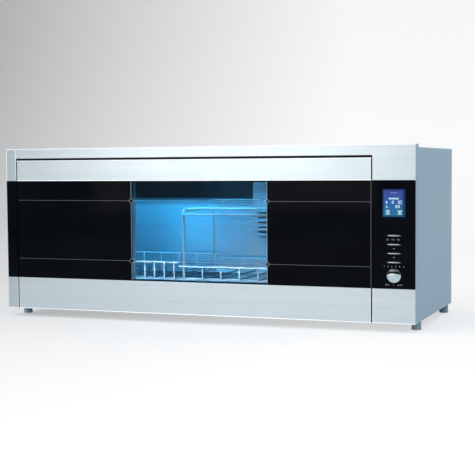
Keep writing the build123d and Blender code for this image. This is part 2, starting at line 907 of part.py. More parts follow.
# One blade: a flat plate set at the pitch angle, broader at the tip than at the hub
blade_plane = Plane(
    (centre(hub_x), fan_y, fan_z),
    x_dir=Vector(1, 0, 0).rotate(Axis.Z, blade_pitch),
    z_dir=Vector(0, -1, 0).rotate(Axis.Z, blade_pitch),
)

with BuildPart() as blade:
    with BuildSketch(blade_plane):
        with BuildLine():
            Polyline(
                (-blade_root_chord / 2, blade_root),
                (-blade_tip_chord / 2, blade_tip),
                (blade_tip_chord / 2, blade_tip),
                (blade_root_chord / 2, blade_root),
                close=True,
            )
        make_face()
    extrude(amount=blade_thickness / 2, both=True)

with BuildPart() as fan_impeller:
    with BuildSketch(across(hub_x[0])):
        with Locations((fan_y, fan_z)):
            RegularPolygon(impeller_hub_radius, blade_count + blade_count)
    extrude(amount=length(hub_x))
    with BuildSketch(across(hub_x[0] + impeller_wall)):
        with Locations((fan_y, fan_z)):
            RegularPolygon(impeller_hub_radius - impeller_wall, blade_count + blade_count)
            RegularPolygon(impeller_boss_radius, blade_count, mode=Mode.SUBTRACT)
    extrude(amount=length(hub_x), mode=Mode.SUBTRACT)
    add([blade.part.rotate(fan_axis, 360 * number / blade_count) for number in range(blade_count)])
    with BuildSketch(across(hub_x[0])):
        with Locations((fan_y, fan_z)):
            Circle(spindle_radius + running_clearance)
    extrude(amount=length(hub_x), mode=Mode.SUBTRACT)
finish(fan_impeller, "fan_impeller")

# Power board on standoffs over the base, and the lamp ballast on the chamber ceiling
power_x = (bulkhead_x + impeller_end_gap, bulkhead_x + impeller_end_gap + power_board_width)
power_y = (frame_back + power_board_setback, frame_back + power_board_setback + power_board_length)
power_base = body_z + base_sheet
power_top = power_base + power_standoff + board_sheet

with BuildPart() as power_board:
    with BuildSketch(level(power_base)):
        with Locations((centre(power_x), centre(power_y))):
            with GridLocations(power_board_width - standoff_size, power_board_length - standoff_size, 2, 2):
                Rectangle(standoff_size, standoff_size)
    extrude(amount=power_standoff)
    with BuildSketch(level(power_base + power_standoff)):
        span_rectangle(power_x, power_y)
    extrude(amount=board_sheet)
    with BuildSketch(level(power_top)):
        with Locations((centre(power_x), centre(power_y))):
            Rectangle(choke_length, choke_width)
    extrude(amount=choke_height)
    with BuildSketch(level(power_top)):
        with Locations((centre(power_x), centre(power_y))):
            with GridLocations(0, choke_width + relay_size + relay_size, 1, 2):
                Rectangle(relay_size + relay_size, relay_size)
    extrude(amount=relay_size)
finish(power_board, "power_board")

ceiling_top = chamber_z[1] + chamber_sheet

with BuildPart() as lamp_ballast:
    with BuildSketch(level(ceiling_top)):
        with Locations((centre(chamber_x), front_y + ballast_setback)):
            Rectangle(ballast_length, ballast_width)
    extrude(amount=ballast_height)
finish(lamp_ballast, "lamp_ballast")

# Germicidal lamp: a capped tube between two holders, with a bent reflector above and behind
lamp_x = (lamp_offset - lamp_length / 2, lamp_offset + lamp_length / 2)
lamp_y = front_y + lamp_setback
lamp_z = chamber_z[1] - lamp_hang

with BuildPart() as lamp_tube:
    with BuildSketch(Plane.XY.offset(lamp_z)):
        span_rectangle(lamp_x, (lamp_y, lamp_y + lamp_radius))
        span_rectangle((lamp_x[0], lamp_x[0] + lamp_cap_length), (lamp_y, lamp_y + lamp_cap_radius))
        span_rectangle((lamp_x[1] - lamp_cap_length, lamp_x[1]), (lamp_y, lamp_y + lamp_cap_radius))
    revolve(axis=Axis((0, lamp_y, lamp_z), (1, 0, 0)))
finish(lamp_tube, "lamp_tube")

with BuildPart() as lamp_holders:
    for end_x, outward in ((lamp_x[0], -1), (lamp_x[1], 1)):
        with BuildSketch(across(end_x)):
            span_rectangle(
                (lamp_y - holder_width / 2, lamp_y + holder_width / 2), (lamp_z, chamber_z[1])
            )
            with Locations((lamp_y, lamp_z)):
                Circle(holder_drop)
        extrude(amount=outward * holder_thickness)
finish(lamp_holders, "lamp_holders")

reflector_y = (lamp_y - reflector_front, lamp_y + reflector_back)
skirt_y = reflector_y[1] + reflector_skirt
skirt_z = chamber_z[1] - reflector_drop

with BuildPart() as lamp_reflector:
    with BuildSketch(across(lamp_x[0])):
        with BuildLine():
            Polyline(
                (reflector_y[0], chamber_z[1]),
                (reflector_y[1], chamber_z[1]),
                (skirt_y, skirt_z),
                (skirt_y - reflector_sheet, skirt_z),
                (reflector_y[1] - reflector_sheet / 2, chamber_z[1] - reflector_sheet),
                (reflector_y[0], chamber_z[1] - reflector_sheet),
                close=True,
            )
        make_face()
    extrude(amount=lamp_length)
finish(lamp_reflector, "lamp_reflector")

# Lower rack: straight wires welded to rails, close together at its left end and wider apart at its right end
rack_x = inset(chamber_x, rack_side_gap)
rack_y = (front_y + rack_setback, chamber_rear - rack_rear_gap)
rack_z = body_z + rack_rise
post_step = rail_radius + wire_radius + weld_gap
post_y = inset(rack_y, post_step)
mid_rail_y = inset(rack_y, mid_rail_inset)
floor_z = rack_z + post_step
floor_y = inset(post_y, wire_radius + weld_gap)
plate_last = divider_left - plate_first_gap
plate_room = plate_last - rack_x[0] - plate_first_gap
plate_xs = [plate_last - plate_pitch * number for number in range(int(plate_room / plate_pitch) + 1)]
bowl_first = divider_left + bowl_first_gap
bowl_room = rack_x[1] - bowl_first - plate_first_gap
bowl_xs = [bowl_first + bowl_pitch * number for number in range(int(bowl_room / bowl_pitch) + 1)]
plate_top_z = rack_z + plate_fence_height
bowl_top_z = rack_z + bowl_fence_height
fence_split = divider_left + frame_wire_radius

with BuildPart() as lower_rack:
    with BuildSketch(across(rack_x[0])):
        with Locations(*[(y, rack_z) for y in (*rack_y, *mid_rail_y)]):
            wire_section(rail_radius)
    extrude(amount=length(rack_x))
    with BuildSketch(across(rack_x[0])):
        with Locations(*[(y, plate_top_z) for y in rack_y]):
            wire_section(rail_radius)
    extrude(amount=fence_split - weld_gap - rack_x[0])
    with BuildSketch(across(fence_split)):
        with Locations(*[(y, bowl_top_z) for y in rack_y]):
            wire_section(rail_radius)
    extrude(amount=rack_x[1] - fence_split)
    with BuildSketch(level(rack_z - rail_radius)):
        with Locations(*[(x, post_y[0]) for x in plate_xs], *[(x, post_y[1]) for x in plate_xs[::2]]):
            wire_section(wire_radius)
    extrude(amount=plate_fence_height + rail_radius + rail_radius)
    with BuildSketch(level(rack_z - rail_radius)):
        with Locations(*[(x, post_y[0]) for x in bowl_xs], *[(x, post_y[1]) for x in bowl_xs[::2]]):
            wire_section(wire_radius)
    extrude(amount=bowl_fence_height + rail_radius + rail_radius)
    with BuildSketch(facing(floor_y[0])):
        with Locations(*[(x, floor_z) for x in (*plate_xs, *bowl_xs)]):
            wire_section(wire_radius)
    extrude(amount=-length(floor_y))
finish(lower_rack, "lower_rack")

# Ledges on the end walls that the lower rack's rails lie on
support_z = rack_z - rail_radius

with BuildPart() as rack_supports:
    for wall_x, inward in ((chamber_x[0], 1), (chamber_x[1], -1)):
        with BuildSketch(facing(rack_y[0] - support_width)):
            span_rectangle(
                ordered(wall_x, wall_x + inward * support_width), (support_z - support_sheet, support_z)
            )
            span_rectangle(
                ordered(wall_x, wall_x + inward * support_sheet), (support_z, support_z + support_height)
            )
        extrude(amount=-length(rack_y) - support_width - support_width)
finish(rack_supports, "rack_supports")

# Upper rack: two bent end frames that stand on the lower rack, with shelf wires and a guard
shelf_z = body_z + shelf_rise
shelf_x = (divider_left, rack_x[1] - shelf_right_gap)
leg_z = rack_z + rail_radius
shelf_wire_z = shelf_z + frame_wire_radius + wire_radius + weld_gap
shelf_wire_y = inset(mid_rail_y, shelf_edge_inset)
front_rail_y = mid_rail_y[0] - frame_wire_radius - rail_radius - weld_gap
front_rail_z = shelf_z - shelf_bend
guard_base_z = shelf_wire_z + wire_radius
guard_z = guard_base_z + guard_rise
shelf_span = inset(shelf_x, -frame_wire_radius)
shelf_step = length(shelf_wire_y) / (shelf_wires - 1)
guard_step = (length(shelf_x) - guard_inset - guard_inset) / (guard_posts - 1)

with BuildPart() as upper_rack:
    for end_x in shelf_x:
        with BuildLine(across(end_x)) as end_frame:
            FilletPolyline(
                (mid_rail_y[0], leg_z),
                (mid_rail_y[0], shelf_z),
                (mid_rail_y[1], shelf_z),
                (mid_rail_y[1], leg_z),
                radius=shelf_bend,
            )
        with BuildSketch(Plane(end_frame.wire() @ 0, z_dir=end_frame.wire() % 0)):
            wire_section(frame_wire_radius)
        sweep()
    with BuildSketch(across(shelf_span[0])):
        with Locations((front_rail_y, front_rail_z)):
            wire_section(rail_radius)
        with Locations(
            *[(shelf_wire_y[0] + shelf_step * number, shelf_wire_z) for number in range(shelf_wires)],
            (shelf_wire_y[1], guard_z + wire_radius),
        ):
            wire_section(wire_radius)
    extrude(amount=length(shelf_span))
    with BuildSketch(level(guard_base_z + weld_gap)):
        with Locations(
            *[(shelf_x[0] + guard_inset + guard_step * number, shelf_wire_y[1]) for number in range(guard_posts)]
        ):
            wire_section(wire_radius)
    extrude(amount=guard_rise - weld_gap - weld_gap)
finish(upper_rack, "upper_rack")

# Drip tray: a shallow pan that lies on the chamber floor
with BuildPart() as drip_tray:
    with BuildSketch(level(chamber_z[0])):
        drip_x = inset(chamber_x, drip_side_gap)
        drip_y = (frame_back + drip_front_gap, chamber_rear - drip_rear_gap)
        with Locations((centre(drip_x), centre(drip_y))):
            RectangleRounded(length(drip_x), length(drip_y), drip_corner)
    extrude(amount=drip_height)
    offset(amount=-drip_wall, openings=drip_tray.faces().sort_by(Axis.Z)[-1])
finish(drip_tray, "drip_tray")
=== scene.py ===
import json
import math

import bmesh
import bpy
import numpy as np
from mathutils import Matrix, Vector


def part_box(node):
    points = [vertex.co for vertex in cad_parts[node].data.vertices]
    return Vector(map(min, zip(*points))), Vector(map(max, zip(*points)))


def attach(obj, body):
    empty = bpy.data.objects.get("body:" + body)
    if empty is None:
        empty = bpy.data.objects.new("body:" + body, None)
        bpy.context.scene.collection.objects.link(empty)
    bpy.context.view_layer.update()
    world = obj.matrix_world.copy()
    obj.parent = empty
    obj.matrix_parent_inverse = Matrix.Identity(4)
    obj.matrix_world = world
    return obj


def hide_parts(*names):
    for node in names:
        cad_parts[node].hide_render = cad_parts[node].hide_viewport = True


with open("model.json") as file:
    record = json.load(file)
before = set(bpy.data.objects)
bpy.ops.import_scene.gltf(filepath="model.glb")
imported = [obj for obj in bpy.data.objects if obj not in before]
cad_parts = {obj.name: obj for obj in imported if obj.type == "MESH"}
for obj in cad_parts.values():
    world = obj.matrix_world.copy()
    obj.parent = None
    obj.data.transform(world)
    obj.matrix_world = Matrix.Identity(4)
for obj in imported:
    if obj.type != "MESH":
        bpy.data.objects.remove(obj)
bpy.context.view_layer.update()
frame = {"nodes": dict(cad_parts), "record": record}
nodes = frame["nodes"]
scene = bpy.context.scene
scene.view_settings.view_transform = "Standard"

seat = 0.0001  # trim and screws are let into their sheet by this much
frontward, rearward = np.array([0.0, -1, 0]), np.array([0.0, 1, 0])
sideward, upward = np.array([1.0, 0, 0]), np.array([0, 0, 1.0])


# surfaces: grids of points worked out as whole arrays

# four-sided faces between neighbouring points of a grid, joined round where a way is closed
def gridFaces(rows, cols, roundRows=False, roundCols=True):
    r = np.arange(rows if roundRows else rows - 1)[:, None]
    c = np.arange(cols if roundCols else cols - 1)[None, :]
    nextR, nextC = (r + 1) % rows, (c + 1) % cols
    corners = [r * cols + c, r * cols + nextC, nextR * cols + nextC, nextR * cols + c]
    return np.stack(np.broadcast_arrays(*corners), -1).reshape(-1, 4)


# faces of like tubes that follow each other in one mesh: walls between the rings, a cap at each end
def tubeFaces(tubes, rings, sides):
    first = (np.arange(tubes) * rings * sides)[:, None, None]
    caps = np.stack([np.arange(sides)[::-1], np.arange(sides) + (rings - 1) * sides])
    return [(gridFaces(rings, sides) + first).reshape(-1, 4), (caps + first).reshape(-1, sides)]


# points from columns of x, y and z, or of a profile's two measures, any of which may be one number
def lay(*columns):
    return np.stack(np.broadcast_arrays(*columns), -1).reshape(-1, len(columns))


# middle of the box between two corners
def midway(low, high):
    return [(a + b) / 2 for a, b in zip(low, high)]


# angles of a quarter turn
def quarter(steps):
    return np.linspace(0, math.pi / 2, steps)


# a closed profile (u, v) carried along a path: point = path + across * u + over * v
def carried(path, across, over, profile, roundPath=False):
    across, over = np.broadcast_to(across, path.shape), np.broadcast_to(over, path.shape)
    u, v = profile[None, :, :1], profile[None, :, 1:]
    points = path[:, None] + across[:, None] * u + over[:, None] * v
    steps, sides = len(path), len(profile)
    faces = [gridFaces(steps, sides, True)] if roundPath else tubeFaces(1, steps, sides)
    return points.reshape(-1, 3), faces


# a profile (radius, height) turned about a line: point = foot + line * height + spoke(angle) * radius
def turned(profile, foot, line, spoke, steps=48):
    profile = np.asarray(profile)
    angle = np.arange(steps) * 2 * math.pi / steps
    spokes = np.cos(angle)[:, None] * spoke + np.sin(angle)[:, None] * np.cross(line, spoke)
    radius, height = profile[:, 0][:, None, None], profile[:, 1][:, None, None]
    points = np.asarray(foot) + line * height + spokes * radius
    return points.reshape(-1, 3), [gridFaces(len(profile), steps)]


wireEnd = {"filed": 0.4, "drawnIn": 0.55, "steep": 0.9}


# straight wires: rings of radius r round each axis, the end rings drawn in like a filed end
def straightWires(starts, ends, radius, sides=10):
    starts, ends = np.asarray(starts, float), np.asarray(ends, float)
    run = np.linalg.norm(ends - starts, axis=1)[:, None]
    along = (ends - starts) / run
    side = np.cross(along, np.where(np.abs(along[:, 2:]) > wireEnd["steep"], sideward, upward))
    side /= np.linalg.norm(side, axis=1)[:, None]
    up = np.cross(along, side)
    filed = wireEnd["filed"] * radius + 0 * run
    stops = np.concatenate([0 * run, filed, run - filed, run], 1)
    share = np.array([wireEnd["drawnIn"], 1, 1, wireEnd["drawnIn"]])[None, :, None, None]
    angle = (np.arange(sides) + 0.5) * 2 * math.pi / sides
    ring = side[:, None] * np.cos(angle)[:, None] + up[:, None] * np.sin(angle)[:, None]
    axis = starts[:, None] + along[:, None] * stops[..., None]
    points = axis[:, :, None] + ring[:, None] * radius * share
    return points.reshape(-1, 3), tubeFaces(len(starts), 4, sides)


# thin flat bars (x0, z0, x1, z1) on the fascia: a box each, from its front depth to its back depth
def flatBars(bars, front, back):
    x0, z0, x1, z1 = np.asarray(bars, float).T[:, :, None]
    x, z = np.concatenate([x0, x1, x1, x0], 1), np.concatenate([z0, z0, z1, z1], 1)
    depth = np.array([front, back])[None, :, None]
    return lay(x[:, None], depth, z[:, None]), tubeFaces(len(bars), 2, 4)


# rolled edges on the fascia: a low arch (1 - u squared) carried from start to end, standing off the sheet
def rolledEdges(starts, ends, wide, tall, steps=7):
    starts, ends = np.asarray(starts, float), np.asarray(ends, float)
    along = (ends - starts) / np.linalg.norm(ends - starts, axis=1)[:, None]
    across = np.cross(along, frontward)
    u = np.linspace(-1, 1, steps)
    out = np.concatenate([tall * (1 - u ** 2), [-seat, -seat]])
    u = np.concatenate([u, [1, -1]]) * wide / 2
    section = across[:, None] * u[:, None] + frontward * out[:, None]
    points = np.stack([starts[:, None] + section, ends[:, None] + section], 1)
    return points.reshape(-1, 3), tubeFaces(len(starts), 2, len(u))


# a loop of straight runs and quarter turns in the XZ plane, with its outward directions
def roundedLoop(x, z, radius, depth, steps=9):
    angle = (np.arange(4)[:, None] + np.linspace(0, 1, steps)[None]) * math.pi / 2
    outward = np.stack([np.cos(angle), 0 * angle, np.sin(angle)], -1)
    left, right, foot, top = x[0] + radius, x[1] - radius, z[0] + radius, z[1] - radius
    middle = np.array([[right, depth, top], [left, depth, top], [left, depth, foot], [right, depth, foot]])
    return (middle[:, None] + outward * radius).reshape(-1, 3), outward.reshape(-1, 3)


# a plate: three rectangles one behind the other, the front one drawn in by the bevel on its free sides
def bevelledPlate(x, z, front, back, bevel, free):
    left, right = x[0] + bevel * free[0], x[1] - bevel * free[1]
    rings = [(x[0], x[1], z[0], z[1], back), (x[0], x[1], z[0], z[1], front + bevel),
             (left, right, z[0] + bevel, z[1] - bevel, front)]
    points = np.array([[(a, y, c), (b, y, c), (b, y, d), (a, y, d)] for a, b, c, d, y in rings])
    return points.reshape(-1, 3), tubeFaces(1, 3, 4)


# puts parts into one mesh at the origin, closes its poles and turns its faces outwards
def addPiece(name, parts, finish, body, crease=35):
    points, faces, start = [], [], 0
    for spots, blocks in parts:
        points.append(spots)
        for block in blocks:
            faces += (block + start).tolist()
        start += len(spots)
    mesh = bpy.data.meshes.new(name)
    mesh.from_pydata(np.concatenate(points).tolist(), [], faces)
    work = bmesh.new()
    work.from_mesh(mesh)
    bmesh.ops.remove_doubles(work, verts=work.verts, dist=2e-7)
    bmesh.ops.recalc_face_normals(work, faces=work.faces)
    work.to_mesh(mesh)
    work.free()
    return placeMesh(name, mesh, finish, body, crease)


# gives a mesh its paint, its shading and the body that it rides on
def placeMesh(name, mesh, finish, body, crease=35):
    mesh.materials.clear()
    mesh.materials.append(paints[finish].material)
    mesh.shade_smooth()
    mesh.set_sharp_from_angle(angle=math.radians(crease))
    piece = bpy.data.objects.new(name, mesh)
    scene.collection.objects.link(piece)
    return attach(piece, body)


# finishes: sums on sockets become Math nodes, every other node comes from Paint.node
paints = {}  # every paint by its name


class Value:
    def __init__(self, paint, socket):
        self.paint, self.socket = paint, socket

    def math(self, operation, *others):
        return self.paint.node("ShaderNodeMath", {"operation": operation}, dict(enumerate((self, *others))))

    def __add__(self, other):
        return self.math("ADD", other)

    def __sub__(self, other):
        return self.math("SUBTRACT", other)

    def __rsub__(self, other):
        return self.paint.node("ShaderNodeMath", {"operation": "SUBTRACT"}, {0: other, 1: self})

    def __mul__(self, other):
        return self.math("MULTIPLY", other)

    def __truediv__(self, other):
        return self.math("DIVIDE", other)

    def __gt__(self, other):
        return self.math("GREATER_THAN", other)

    def __lt__(self, other):
        return self.math("LESS_THAN", other)

    def __abs__(self):
        return self.math("ABSOLUTE")

    __radd__, __rmul__ = __add__, __mul__

    # 0 below low, 1 above high, a straight ramp between
    def ramp(self, low, high):
        sockets = {0: self, 1: low, 2: high, 3: 0.0, 4: 1.0}
        return self.paint.node("ShaderNodeMapRange", {"clamp": True}, sockets)


class Paint:
    def __init__(self, name, plain):
        paints[name] = self
        self.material = bpy.data.materials.new(name)
        self.material.use_nodes = True
        self.tree = self.material.node_tree
        self.shader = self.tree.nodes["Principled BSDF"]
        self.place = self.node("ShaderNodeTexCoord", out="Object")
        split = self.tree.nodes.new("ShaderNodeSeparateXYZ")
        self.tree.links.new(self.place.socket, split.inputs[0])
        self.x, self.y, self.z = [Value(self, socket) for socket in split.outputs]
        self.feed(plain)

    def node(self, kind, settings=None, sockets=None, out=0):
        made = self.tree.nodes.new(kind)
        for key, value in (settings or {}).items():
            if key == "stops":
                while len(made.color_ramp.elements) < len(value):
                    made.color_ramp.elements.new(0.5)
                for element, (spot, colour) in zip(made.color_ramp.elements, value):
                    element.position, element.color = spot, (*colour, 1)
            else:
                setattr(made, key, value)
        self.put(made, sockets or {})
        return Value(self, made.outputs[out])

    def put(self, made, sockets):
        for key, value in sockets.items():
            if isinstance(value, Value):
                self.tree.links.new(value.socket, made.inputs[key])
            else:
                made.inputs[key].default_value = (*value, 1) if made.inputs[key].type == "RGBA" else value

    def feed(self, sockets):
        self.put(self.shader, sockets)
        return self

    # what already feeds a socket of the shader
    def fed(self, key):
        return Value(self, self.shader.inputs[key].links[0].from_socket)

    # lays a colour over what feeds the base colour already
    def tint(self, share, colour):
        self.feed({"Base Color": self.blend(share, self.fed("Base Color"), colour)})

    # cloudy values from 0 to 1; stretch is how many clouds there are to a metre, one number or one each way
    def noise(self, stretch, detail=2.0, rough=0.5):
        scale = stretch if isinstance(stretch, tuple) else (stretch,) * 3
        spot = self.node("ShaderNodeMapping", None, {"Vector": self.place, "Scale": scale})
        sockets = {"Vector": spot, "Scale": 1.0, "Detail": detail, "Roughness": rough}
        return self.node("ShaderNodeTexNoise", None, sockets)

    def blend(self, share, first, second):
        return self.node("ShaderNodeMix", {"data_type": "RGBA"}, {0: share, 6: first, 7: second}, out=2)

    def dents(self, height, strength, distance):
        sockets = {"Strength": strength, "Distance": distance, "Height": height}
        return self.node("ShaderNodeBump", None, sockets)


# a colour or a grain times a number
def scaled(colour, share):
    return tuple(n * share for n in colour)


# rolled sheet with grain along one way: long fine scratches in colour, gloss and relief
rolledSheet = {
    "broad": 0.14, "clouds": (6.0, 6.0, 9.0), "mix": (0.55, 0.45), "tone": (0.3, 0.7),
    "stain": (0.35, 0.8), "stainShare": 0.35, "gloss": 0.16, "stainGloss": 0.08, "heights": (0.7, 0.3),
    "dents": (0.35, 0.00002),
}


def grainedMetal(name, dark, light, rough, grain, metal=1.0):
    look = rolledSheet
    paint = Paint(name, {"Metallic": metal})
    fine = paint.noise(grain, detail=3.0, rough=0.6)
    broad = paint.noise(scaled(grain, look["broad"]))
    cloud = paint.noise(look["clouds"], detail=3.0)
    tone = (fine * look["mix"][0] + broad * look["mix"][1]).ramp(*look["tone"])
    stain = cloud.ramp(*look["stain"]) * look["stainShare"]
    paint.feed({
        "Base Color": paint.blend(tone * (1 - stain), dark, light),
        "Roughness": rough + (fine - 0.5) * look["gloss"] + stain * look["stainGloss"],
        "Normal": paint.dents(fine * look["heights"][0] + broad * look["heights"][1], *look["dents"]),
    })


# sprayed coat: a fine pebbled skin and a slightly uneven tone
sprayCoat = {
    "pebbles": 1300.0, "clouds": (5.0, 5.0, 7.0), "mix": (0.7, 0.3), "tone": (0.3, 0.7),
    "shades": (0.95, 1.05), "gloss": 0.12, "dents": (0.3, 0.00006),
}


def sprayed(name, colour, rough):
    look = sprayCoat
    paint = Paint(name, {})
    pebble = paint.noise(look["pebbles"])
    cloud = paint.noise(look["clouds"], detail=4.0)
    tone = (cloud * look["mix"][0] + pebble * look["mix"][1]).ramp(*look["tone"])
    shades = [scaled(colour, share) for share in look["shades"]]
    paint.feed({
        "Base Color": paint.blend(tone, *shades),
        "Roughness": rough + (cloud - 0.5) * look["gloss"],
        "Normal": paint.dents(pebble, *look["dents"]),
    })


# moulded plastic or rubber: spark-eroded grain and faint flow clouds
mould = {
    "flow": 18.0, "tone": (0.3, 0.75), "shades": (0.82, 1.2), "gloss": 0.2, "dents": (0.4, 0.00004),
    "specular": 0.35,
}


def moulded(name, colour, rough, grain=2200.0):
    look = mould
    paint = Paint(name, {"Specular IOR Level": look["specular"]})
    speck = paint.noise(grain)
    flow = paint.noise(look["flow"], detail=3.0)
    shades = [scaled(colour, share) for share in look["shades"]]
    paint.feed({
        "Base Color": paint.blend(flow.ramp(*look["tone"]), *shades),
        "Roughness": rough + (speck - 0.5) * look["gloss"],
        "Normal": paint.dents(speck, *look["dents"]),
    })


# bright plating: nearly smooth, with slight clouding and hairline polish marks
plating = {
    "clouds": 60.0, "tone": (0.3, 0.8), "dim": 0.88, "hairGloss": 0.08, "cloudGloss": 0.05,
    "dents": (0.15, 0.00001),
}


def plated(name, colour, rough, polish=400.0, metal=1.0):
    look = plating
    paint = Paint(name, {"Metallic": metal})
    cloud = paint.noise(look["clouds"], detail=3.0)
    hair = paint.noise(polish)
    paint.feed({
        "Base Color": paint.blend(cloud.ramp(*look["tone"]), colour, scaled(colour, look["dim"])),
        "Roughness": rough + hair * look["hairGloss"] + cloud * look["cloudGloss"],
        "Normal": paint.dents(hair, *look["dents"]),
    })


# dark glossy glass or acrylic with wiped-on haze and a little dust
hazyGlass = {
    "wipes": (7.0, 7.0, 16.0), "specks": 900.0, "tone": (0.35, 0.8), "haze": (1.5, 0.001), "rough": 0.05,
    "wiped": (0.4, 0.8), "wipeGloss": 0.06, "dusty": (0.68, 0.8), "dustGloss": 0.1,
}


def darkPane(name, colour, alpha, specular):
    look = hazyGlass
    paint = Paint(name, {"Specular IOR Level": specular, "Alpha": alpha})
    wipe = paint.noise(look["wipes"], detail=4.0, rough=0.6)
    dust = paint.noise(look["specks"], detail=1.0)
    hazy = tuple(n * look["haze"][0] + look["haze"][1] for n in colour)
    paint.feed({
        "Base Color": paint.blend(wipe.ramp(*look["tone"]), colour, hazy),
        "Roughness": (look["rough"] + wipe.ramp(*look["wiped"]) * look["wipeGloss"]
                      + dust.ramp(*look["dusty"]) * look["dustGloss"]),
    })


# light from inside a piece, brighter in the middle of its clouds
backlight = {"base": (0.02, 0.02, 0.03), "rough": 0.25, "clouds": 120.0, "tone": (0.2, 0.8), "dim": 0.85}


def glowing(name, colour, strength):
    look = backlight
    plain = {"Base Color": look["base"], "Roughness": look["rough"], "Emission Strength": strength}
    paint = Paint(name, plain)
    tone = paint.noise(look["clouds"]).ramp(*look["tone"])
    paint.feed({"Emission Color": paint.blend(tone, scaled(colour, look["dim"]), colour)})


# screen print: opaque ink, grainy in tone and gloss
ink = {"grain": 1500.0, "tone": (0.25, 0.75), "dim": 0.86, "gloss": 0.15}


def printed(name, colour, rough=0.4, metal=0.0):
    paint = Paint(name, {"Metallic": metal})
    grain = paint.noise(ink["grain"])
    paint.feed({
        "Base Color": paint.blend(grain.ramp(*ink["tone"]), scaled(colour, ink["dim"]), colour),
        "Roughness": rough + (grain - 0.5) * ink["gloss"],
    })


grainedMetal("stainless", (0.50, 0.58, 0.63), (0.605, 0.68, 0.725), 0.32, (9.0, 900.0, 1100.0))
sprayed("casePaint", (0.296, 0.51, 0.675), 0.42)
grainedMetal("chamberSteel", (0.46, 0.51, 0.55), (0.58, 0.62, 0.66), 0.40, (14.0, 700.0, 700.0), 0.7)
sprayed("frameBlack", (0.012, 0.013, 0.016), 0.5)
darkPane("paneBlack", (0.0018, 0.0028, 0.0052), alpha=1.0, specular=0.03)
darkPane("windowGlass", (0.001, 0.005, 0.010), alpha=0.52, specular=0.04)
moulded("carrierPlastic", (0.035, 0.036, 0.042), 0.55)
plated("steelEdge", (0.93, 0.95, 0.96), 0.22)
plated("keyChrome", (0.86, 0.87, 0.89), 0.10)
plated("rackWire", (0.92, 0.96, 0.98), 0.2, metal=0.2)
plated("shelfWire", (0.74, 0.68, 0.62), 0.2, metal=0.1)
moulded("rubberDark", (0.30, 0.43, 0.50), 0.6)
moulded("sealGrey", (0.22, 0.23, 0.245), 0.5, grain=1500.0)
grainedMetal("reflectorAlu", (0.78, 0.79, 0.81), (0.90, 0.905, 0.915), 0.18, (10.0, 700.0, 700.0))
grainedMetal("heaterAlu", (0.55, 0.55, 0.55), (0.74, 0.74, 0.74), 0.4, (300.0, 300.0, 40.0))
moulded("fanPlastic", (0.022, 0.022, 0.025), 0.5)
plated("hingeSteel", (0.62, 0.62, 0.60), 0.28, polish=700.0)
printed("silverInk", (0.26, 0.285, 0.305), 0.35, metal=0.5)
printed("paleInk", (0.25, 0.40, 0.50), 0.35, metal=0.3)
printed("whiteInk", (0.50, 0.53, 0.56))
glowing("glowInk", (0.58, 0.88, 1.0), 0.85)

# chamber sheet: painted shade on the rear wall high up, a little less towards the duct
wallShade = {
    "rise": (0.228, 0.250), "wall": 0.1590, "fade": (-0.14, -0.01), "share": 1.0, "atDuct": 0.93,
    "colour": (0.0012, 0.0012, 0.0012), "specular": 0.15,
}
# its floor is painted darker as painted shade, mostly at the left end
floorShade = {
    "rise": (0.072, 0.079), "share": 0.9, "colour": (0.07, 0.11, 0.15), "fade": (-0.10, -0.03),
    "fadeShare": 0.92,
}
# and the window's reveal in the door is painted pale blue as painted light, with painted shade at its top
reveal = {"front": -0.168, "enamel": (0.45, 0.68, 0.78), "rise": (0.244, 0.260), "share": 0.92}
paint = paints["chamberSteel"].feed({"Specular IOR Level": wallShade["specular"]})
# painted shade high on the rear wall, a little less towards the duct
share = wallShade["share"] - paint.x.ramp(*wallShade["fade"]) * (wallShade["share"] - wallShade["atDuct"])
paint.tint(paint.z.ramp(*wallShade["rise"]) * (paint.y > wallShade["wall"]) * share, wallShade["colour"])
# painted shade on the chamber floor, most at its left end
share = (1 - paint.x.ramp(*floorShade["fade"]) * floorShade["fadeShare"]) * floorShade["share"]
paint.tint((1 - paint.z.ramp(*floorShade["rise"])) * share, floorShade["colour"])
# painted light on the reveal, blended into painted shade at its top
enamel = paint.blend(paint.z.ramp(*reveal["rise"]) * reveal["share"], reveal["enamel"], wallShade["colour"])
paint.tint(paint.y < reveal["front"], enamel)

# the lower rack's floor wires are painted darker, as painted shade
floorWireShade = {"z": (0.0842, 0.0878), "y": (-0.1105, 0.1205), "colour": (0.10, 0.16, 0.20), "share": 0.85}
paint = paints["rackWire"]
# painted shade on the rack's floor wires
onFloor = (paint.z > floorWireShade["z"][0]) * (paint.z < floorWireShade["z"][1])
onFloor = onFloor * (paint.y > floorWireShade["y"][0]) * (paint.y < floorWireShade["y"][1])
paint.tint(onFloor * floorWireShade["share"], floorWireShade["colour"])

# the left trim is painted a tone darker than the sheets beside it, as painted shade
leftTrimShade = {"edge": -0.4245, "share": 0.17, "colour": (0.02, 0.11, 0.19)}
paint = paints["stainless"]
# painted shade over the left trim
paint.tint((paint.x < leftTrimShade["edge"]) * leftTrimShade["share"], leftTrimShade["colour"])

# the ends of the door's sheets are painted dark as painted shade, which shows as a dark line in the seam
# beside the column
seamShade = {"reach": (0.3628, 0.3654), "top": 0.340, "colour": (0.012, 0.014, 0.017)}
# painted shade at the door's right edge, on both steels
for key in ("stainless", "chamberSteel"):
    paint = paints[key]
    ends = (paint.x > seamShade["reach"][0]) * (paint.x < seamShade["reach"][1]) * (paint.z < seamShade["top"])
    paint.tint(ends, seamShade["colour"])

